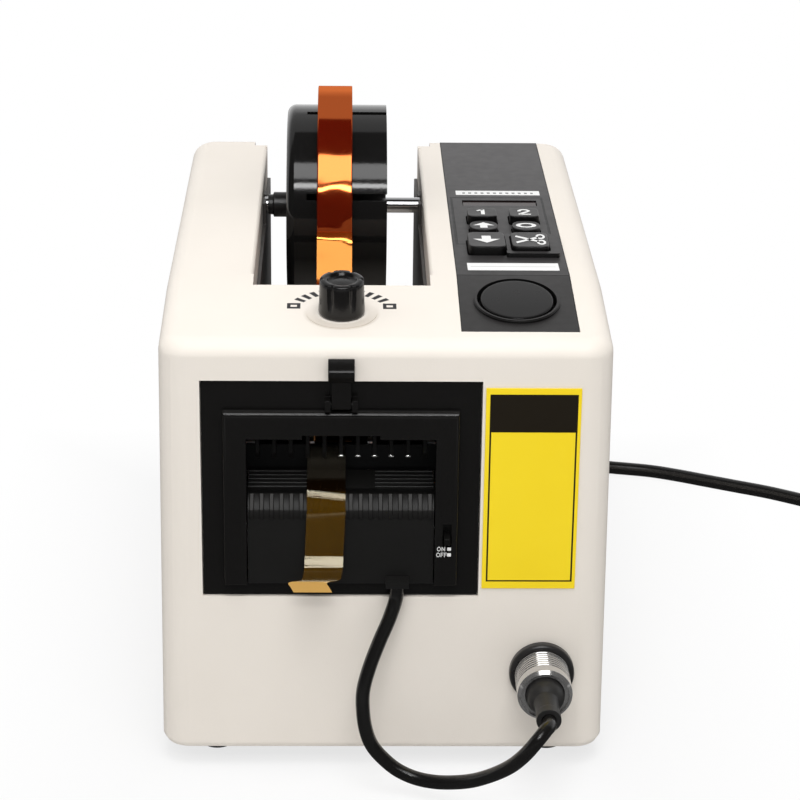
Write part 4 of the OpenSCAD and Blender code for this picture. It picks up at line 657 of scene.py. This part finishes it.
keys = (("cm_key", "key_cm", -1, unit_row, square, one, 1.3, 1.3),
        ("mm_key", "key_mm", 1, unit_row, square, two, 1.3, 1.3),
        ("up_key", "key_up", -1, oval_row, round_cap, arrow, 1.4, 1.3),
        ("set_key", "key_set", 1, oval_row, round_cap, nought, 1.1, 1.2),
        ("down_key", "key_down", -1, big_row, big, arrow, 1.7, -1.6),
        ("cut_key", "key_cut", 1, big_row, big, shears, 1.1, 1.9))
for node, body, column, row, (size, oval, proud), sign, wide, long in keys:
    spot = (panel_x + column * key_dx, front_y + row)
    rings = key_rings(spot, size, oval, top_z - 5.8, top_z + proud)
    cap = surface(node + "_cap", rings, key_black, body, 50)
    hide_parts(node)
    sign_spot = (*spot, top_z + proud + 0.01)
    printed(node + "_sign", sign, sign_spot, (wide, 0, 0), (0, long, 0), body)

# Start button: a broad oval moulded cap with a faintly domed top, nearly flush in a low ring on the sloping
# plate. A skirt under its edge guides it in the ring and covers the gap when it is pressed.
deck_turn, deck_l, start_back = math.radians(6.2), 50.3, 30.5
button_long = 28 / 23


def on_deck(grid, x, back):
    """Turns points of the sloping deck's frame (X, up the slope, out of it) into the machine's, about a place
    on the deck."""
    c, s = math.cos(deck_turn), math.sin(deck_turn)
    u, v, w = np.moveaxis(grid, -1, 0)
    spot = np.array([x, front_y + back, top_z - (deck_l - back) * math.tan(deck_turn)])
    return np.stack([u, c * v - s * w, s * v + c * w], axis=-1) + spot * MM


skirt = [(12.2, -6.0), (12.2, -2.2), (11.5, -2.2), (11.5, 0.4)]
edge_bend = np.linspace(0, np.pi / 2, 7)
edge = np.stack([11.0 + 0.5 * np.cos(edge_bend), 0.45 + 0.5 * np.sin(edge_bend)], axis=1)
dome_r = np.array([10.4, 8.5, 6.5, 4.5, 2.5, 0.8, 0.05])
dome = np.stack([dome_r, 0.95 + 0.15 * (1 - (dome_r / 11) ** 2)], axis=1)
button_grid = revolve(np.vstack([skirt, edge, dome]), (0, 0, 0), "Z") * [1, button_long, 1]
button_satin = Finish("button_satin", IOR=1.27).moulded(
    (0.007, 0.0066, 0.0066), (0.005, 0.0047, 0.0047), rough=0.26, spread=0.10, grain=1800.0, depth=0.00001)
button_grid = on_deck(button_grid, panel_x, start_back)
start_cap = surface("start_cap", button_grid, button_satin, "start", 50)
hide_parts("start_button")

# Speed knob: black moulded knob on the potentiometer's shaft, square to the sloping deck. Six finger flutes
# run down from its rim, and its top has a shallow round dish.
flutes, flute_depth = 6, 0.75
knob_turn = np.linspace(0, 2 * np.pi, 192, endpoint=False)
flute = np.clip(np.cos(flutes * knob_turn) * 3.5 - 2.3, 0, 1) ** 0.8
knob_r, knob_h, fluted = np.array([
    (3.0, -8.8, 0), (3.0, 0.45, 0), (6.6, 0.5, 0), (7.1, 0.7, 0), (7.25, 1.2, 0), (7.2, 2.5, 0.0),
    (7.15, 4.0, 0.35), (7.1, 6.0, 0.8), (7.05, 8.0, 1.0), (7.02, 9.8, 1.0), (6.98, 11.0, 1.0),
    (6.8, 11.5, 1.0), (6.4, 11.78, 1.0), (5.6, 11.8, 0.5), (4.9, 11.8, 0.0), (4.7, 11.7, 0), (4.5, 10.9, 0),
    (4.3, 10.75, 0), (3.0, 10.85, 0), (1.5, 11.0, 0), (0.05, 11.05, 0)]).T[:, :, None]
knob_reach = knob_r - flute * fluted * flute_depth
knob_grid = np.stack([knob_reach * np.cos(knob_turn), knob_reach * np.sin(knob_turn),
                      knob_h + 0 * knob_turn], axis=-1)
knob_black = Finish("knob_black", IOR=1.42).moulded(
    (0.0065, 0.006, 0.006), (0.0045, 0.0042, 0.0042), rough=0.20, spread=0.10, grain=900.0)
knob = surface("knob_cap", on_deck(knob_grid * MM, line_x, knob_back), knob_black, "knob", 50)
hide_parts("speed_knob")

# Front plate: yellow printed film stuck on the front face, with a black band along its top, a thin black
# border and a bare field.
plate_film = Finish("plate_film", IOR=1.4)
plate_x = (plate_film.x - 0.04545).abs()
plate_z = plate_film.z - 0.0639
band = plate_x.under(0.01355) * plate_z.within(0.0530, 0.0655)
border_out = plate_x.under(0.01355) * plate_z.within(0.0024, 0.0655)
border_in = plate_x.under(0.0130) * plate_z.within(0.0029, 0.0650)
yellow = plate_film.clouded((0.86, 0.62, 0.004), (0.92, 0.70, 0.012), 30.0, 3.0)
plate_ink = (band + (border_out - border_in)).clip()
plate_film.feed("Base Color", plate_film.mix(plate_ink, yellow, (0.012, 0.008, 0.003)))
plate_film.gloss(0.30, 0.1, 240.0)
plate_film.bump(plate_film.noise(500.0), 0.00002)
shell("info_plate", plate_film, 0.08)

# Cutter outlet: glossy black frame and raised bezel, a satin tray below and a comb of guide fins above.
# Small bright metal noses on some of the fins stand in for the glints on their tips, as painted highlights.
# A latch above holds it, and a small slide switch sits on the bezel, marked ON and OFF in white print.
outlet_gloss = Finish("outlet_gloss", IOR=1.42).moulded(
    (0.0065, 0.006, 0.0056), (0.0045, 0.0042, 0.004), rough=0.20, spread=0.12, grain=500.0)
tray_satin = Finish("tray_satin", IOR=1.42).moulded(
    (0.009, 0.0086, 0.008), (0.0065, 0.0062, 0.0058), rough=0.40, spread=0.16, grain=1200.0)
mouth_black = Finish("mouth_black", IOR=1.3).moulded(
    (0.005, 0.0047, 0.0044), (0.0035, 0.0033, 0.003), rough=0.45, spread=0.16, grain=1200.0)
shell("outlet_frame", outlet_gloss, 0.3, steps=3)
shell("outlet_bezel", outlet_gloss, 0.25, steps=3)
shell("outlet_tray", tray_satin)
shell("guide_comb", mouth_black, 0.15)
shell("latch_lever", outlet_gloss, 0.35, steps=3)
shell("sensor_switch", mouth_black, 0.2)
# Painted highlight: bright metal noses on five fins, for the glints at their tips.
glint_tip = Finish("glint_tip", Metallic=1.0)
glint_tip.feed("Base Color", glint_tip.clouded((0.92, 0.92, 0.90), (0.97, 0.97, 0.96), 90.0))
glint_tip.gloss(0.20, 0.1, 240.0)
fin_pitch, middle_fin = 5.2, 5
glint_nose = [(0.05, -1.0), (0.3, -0.9), (0.42, -0.5), (0.45, 0.0), (0.42, 0.5), (0.3, 0.9), (0.05, 1.0)]
for number in range(5, 10):
    spot = (line_x + fin_pitch * (number - middle_fin), front_y + 4.6, line_h + 103.9)
    surface(f"glint_nose_{number}", revolve(glint_nose, spot, "X", 24), glint_tip, "machine", 60)

stroke = 0.22
letters = {
    "O": hoop((0, 0), 0.75, 0.53, 0.8),
    "N": [oblong((-0.45, -0.75), (-0.45, 0.75), stroke), oblong((-0.45, 0.7), (0.45, -0.7), stroke),
          oblong((0.45, -0.75), (0.45, 0.75), stroke)],
    "F": [oblong((-0.35, -0.75), (-0.35, 0.75), stroke), oblong((-0.35, 0.64), (0.4, 0.64), stroke),
          oblong((-0.35, 0), (0.3, 0), stroke)],
    "dot": [oblong((-0.6, 0), (0.6, 0), 1.1)]}
on_row, off_row, mark_y = 78.2, 76.2, front_y - 2.02
switch_marks = (("O", 16.9, on_row), ("N", 18.3, on_row), ("dot", 20.1, on_row),
                ("O", 16.7, off_row), ("F", 17.95, off_row), ("F", 19.0, off_row), ("dot", 20.1, off_row))
for number, (letter, x, z) in enumerate(switch_marks):
    printed(f"switch_mark_{number}", letters[letter], (x, mark_y, z), (1, 0, 0), (0, 0, 1),
            "machine")

# Lip: a flat slanting face along the tray's front edge, moulded with it in the same satin black, with
# narrow upright ridges that carry the tape.
ridge_n, ridge_pitch, ridge_h, lip_half, lip_back = 19, 3.08, 0.28, 28.9, -0.8
first_ridged = 3
lip_path = np.array([[6.2, 92.25], [4.0, 92.45], [2.7, 92.25], [2.15, 91.95], [-1.35, 88.1], [-1.48, 87.7],
                     [-1.48, 86.0], [-1.0, 85.0]])
lean = np.gradient(lip_path, axis=0)
lean = np.stack([lean[:, 1], -lean[:, 0]], axis=1) / np.linalg.norm(lean, axis=1)[:, None]
ridges = (np.arange(ridge_n) - (ridge_n - 1) / 2)[:, None] * ridge_pitch
lip_x = np.concatenate([[-lip_half], (ridges + [-0.75, -0.5, 0.5, 0.75]).ravel(), [lip_half]])
ridged = np.concatenate([[0], np.tile([0, ridge_h, ridge_h, 0], ridge_n), [0]])
lip_x = np.concatenate([lip_x, lip_x[::-1]])
lip_out = np.concatenate([ridged, np.full(len(ridged), lip_back)])
has_ridges = (np.arange(len(lip_path)) >= first_ridged)[:, None]
grown = np.where(lip_out > 0, has_ridges * lip_out, lip_out)
lip_flat = lip_path[:, None] + lean[:, None] * grown[:, :, None]
lip_side = np.broadcast_to(line_x + lip_x, lip_flat.shape[:2])
lip_grid = (np.concatenate([lip_side[..., None], lip_flat], axis=-1) + [0, front_y, line_h]) * MM
lip_satin = Finish("lip_satin", IOR=1.35).grained(rough=0.42, spread=0.16, grain=1200.0)
# Painted highlight: the ridge crests are a lighter grey. Painted shade: the front below the slant is near
# black.
from_ridge = (((lip_satin.x - line_x * MM) / (ridge_pitch * MM) + 0.5) % 1.0 - 0.5).abs()
crest_painted_highlight = from_ridge.under(0.19, 0.05) * lip_satin.z.over(0.0912)
lip_front_painted_shade = lip_satin.y.under((front_y + 2.3) * MM)
ribbed = lip_satin.mix(crest_painted_highlight, (0.010, 0.0095, 0.009), (0.019, 0.018, 0.017))
lip_satin.feed("Base Color", lip_satin.mix(lip_front_painted_shade, (0.004, 0.0038, 0.0036), ribbed))
surface("tray_lip", lip_grid, lip_satin, "machine", 30)

# Connector: black panel socket in the front face, and the chrome coupling ring that screws the plug onto
# it, with turned ribs and a bright bevelled nose.
shell("connector_socket", collar_black, 0.2, steps=3)
ring_chrome = Finish("ring_chrome", Metallic=0.88)
ring_chrome.feed("Base Color", ring_chrome.clouded((0.56, 0.55, 0.54), (0.66, 0.65, 0.64), 60.0))
ring_chrome.gloss(0.12, 0.08, 240.0, 3.0)
shell("coupling_ring", ring_chrome, 0.1)

# Inside and rear: plates, shafts and motors of steel, rubber rollers, an acetal gear and brass pinions,
# green boards, the transformer's iron core, and the black mains switch in the rear face.
steel = Finish("brushed_steel", Metallic=1.0)
streak = steel.node("Mapping", {}, {"Vector": steel.place, "Scale": (40.0, 2500.0, 40.0)})
steel.feed("Base Color", steel.clouded((0.46, 0.47, 0.48), (0.62, 0.63, 0.64), 1.0, at=streak))
steel.gloss(0.25, 0.2, 1.0, at=streak)
brass = Finish("pinion_brass", Metallic=1.0).moulded(
    (0.62, 0.44, 0.17), (0.52, 0.36, 0.13), rough=0.3, spread=0.12)
acetal = Finish("gear_acetal", IOR=1.48).moulded(
    (0.72, 0.68, 0.58), (0.66, 0.61, 0.50), rough=0.4, spread=0.1)
board_green = Finish("board_green", IOR=1.5).moulded(
    (0.03, 0.13, 0.055), (0.022, 0.095, 0.04), rough=0.35, spread=0.2, grain=500.0)
core_iron = Finish("core_iron", Metallic=0.6).moulded(
    (0.22, 0.20, 0.17), (0.15, 0.13, 0.11), rough=0.55, spread=0.2, grain=350.0)
# Painted shade: the side plates, blade carrier and blades are near black, for the shade deep in the mouth.
mouth_shade_black = Finish("mouth_shade_black_steel", IOR=1.3).moulded(
    (0.006, 0.006, 0.0065), (0.004, 0.004, 0.0042), rough=0.42, spread=0.2, grain=900.0)
inside = ((steel, ("base_screws", "lower_shaft", "upper_shaft", "feed_motor", "cutter_motor")),
          (mouth_shade_black, ("side_plate_left", "side_plate_right", "blade_carrier", "moving_blade", "fixed_blade")),
          (brass, ("feed_pinion", "cutter_pinion")),
          (board_green, ("switch_boards", "control_board")),
          (foot_rubber, ("lower_roller", "upper_roller")),
          (zinc, ("speed_potentiometer",)),
          (acetal, ("idler_gear",)),
          (core_iron, ("power_transformer",)))
for finish, nodes in inside:
    for node in nodes:
        frame["nodes"][node].data.materials.clear()
        frame["nodes"][node].data.materials.append(finish.material)
shell("switch_body", tray_satin, 0.3)
shell("rocker_switch", outlet_gloss, 0.3)

# Studio: a pale paper floor that keeps the machine's soft shadow, plain white to the camera, a wall of
# light and shade that only reflections show, and five soft boxes.
floor_reach = 4
floor_mesh = bpy.data.meshes.new("studio_floor")
floor_mesh.from_pydata([(-floor_reach, -floor_reach, 0), (floor_reach, -floor_reach, 0),
                        (floor_reach, floor_reach, 0), (-floor_reach, floor_reach, 0)], [], [(0, 1, 2, 3)])
floor = bpy.data.objects.new("studio_floor", floor_mesh)
bpy.context.scene.collection.objects.link(floor)
paper = Finish("studio_paper", Roughness=0.9, Base_Color=(0.7, 0.7, 0.7))
looked_at = paper.ray("Camera").most(paper.ray("Transmission"))
beside = (paper.x.abs() - 0.07).most(paper.y.abs() - body_l / 2 * MM)
near_share = beside.rise(0, 0.08) * 0.25 + 0.75
far_white = beside.rise(0.5, 1.3) * 0.9 + 0.10
glow = paper.node("Emission", {}, {"Color": (1.0, 1.0, 1.0), "Strength": looked_at.most(far_white)})
glow_share = (looked_at * near_share).most(paper.ray("Glossy"))
lit = Sock(paper, paper.shader.outputs[0])
paper_look = paper.node("MixShader", {}, {0: glow_share, 1: lit, 2: glow})
paper.tree.links.new(paper_look.socket, paper.tree.nodes["Material Output"].inputs["Surface"])
floor_mesh.materials.append(paper.material)

world = bpy.data.worlds.new("studio")
bpy.context.scene.world = world
world.use_nodes = True
surround = Nodes(world.node_tree)
_, rearward_way, upward_way = surround.parts(surround.node("TexCoord", {}, {}, "Generated"))
low_wall = (1 - upward_way.rise(0.28, 0.58)) * 0.5
high_wall = (1 - upward_way.rise(0.945, 0.955)) * 0.48
wall = rearward_way.rise(0.05, 0.25) * (low_wall + high_wall) + 0.03
fill = 0.52
glossy = surround.ray("Glossy")
backdrop = surround.ray("Camera").most(surround.ray("Transmission"))
strength = backdrop + (1 - backdrop) * (glossy * wall + (1 - glossy) * fill)
background = world.node_tree.nodes["Background"]
world.node_tree.links.new(strength.socket, background.inputs["Strength"])
background.inputs["Color"].default_value = (1, 1, 1, 1)

aim = Vector((0, 0, 0.08))
for name, spot, size, watts, mirrored in (("soft_box", (0.05, -0.78, 1.325), (0.8, 0.47), 4.6, True),
                                          ("strip_box", (0.0, -1.09, 1.03), (0.7, 0.13), 3.6, True),
                                          ("top_box", (0.05, -0.36, 1.4), (0.6, 0.6), 7.8, False),
                                          ("front_box", (-0.2, -1.25, 0.95), (0.6, 0.6), 0.9, False),
                                          ("left_box", (-1.2, -0.2, 1.0), (0.8, 0.8), 2.15, False)):
    lamp = bpy.data.lights.new(name, "AREA")
    lamp.shape = "RECTANGLE"
    lamp.size, lamp.size_y = size
    lamp.energy = watts
    box = bpy.data.objects.new(name, lamp)
    box.location = spot
    box.visible_glossy = mirrored
    box.rotation_euler = (aim - Vector(spot)).to_track_quat("-Z", "Y").to_euler()
    bpy.context.scene.collection.objects.link(box)
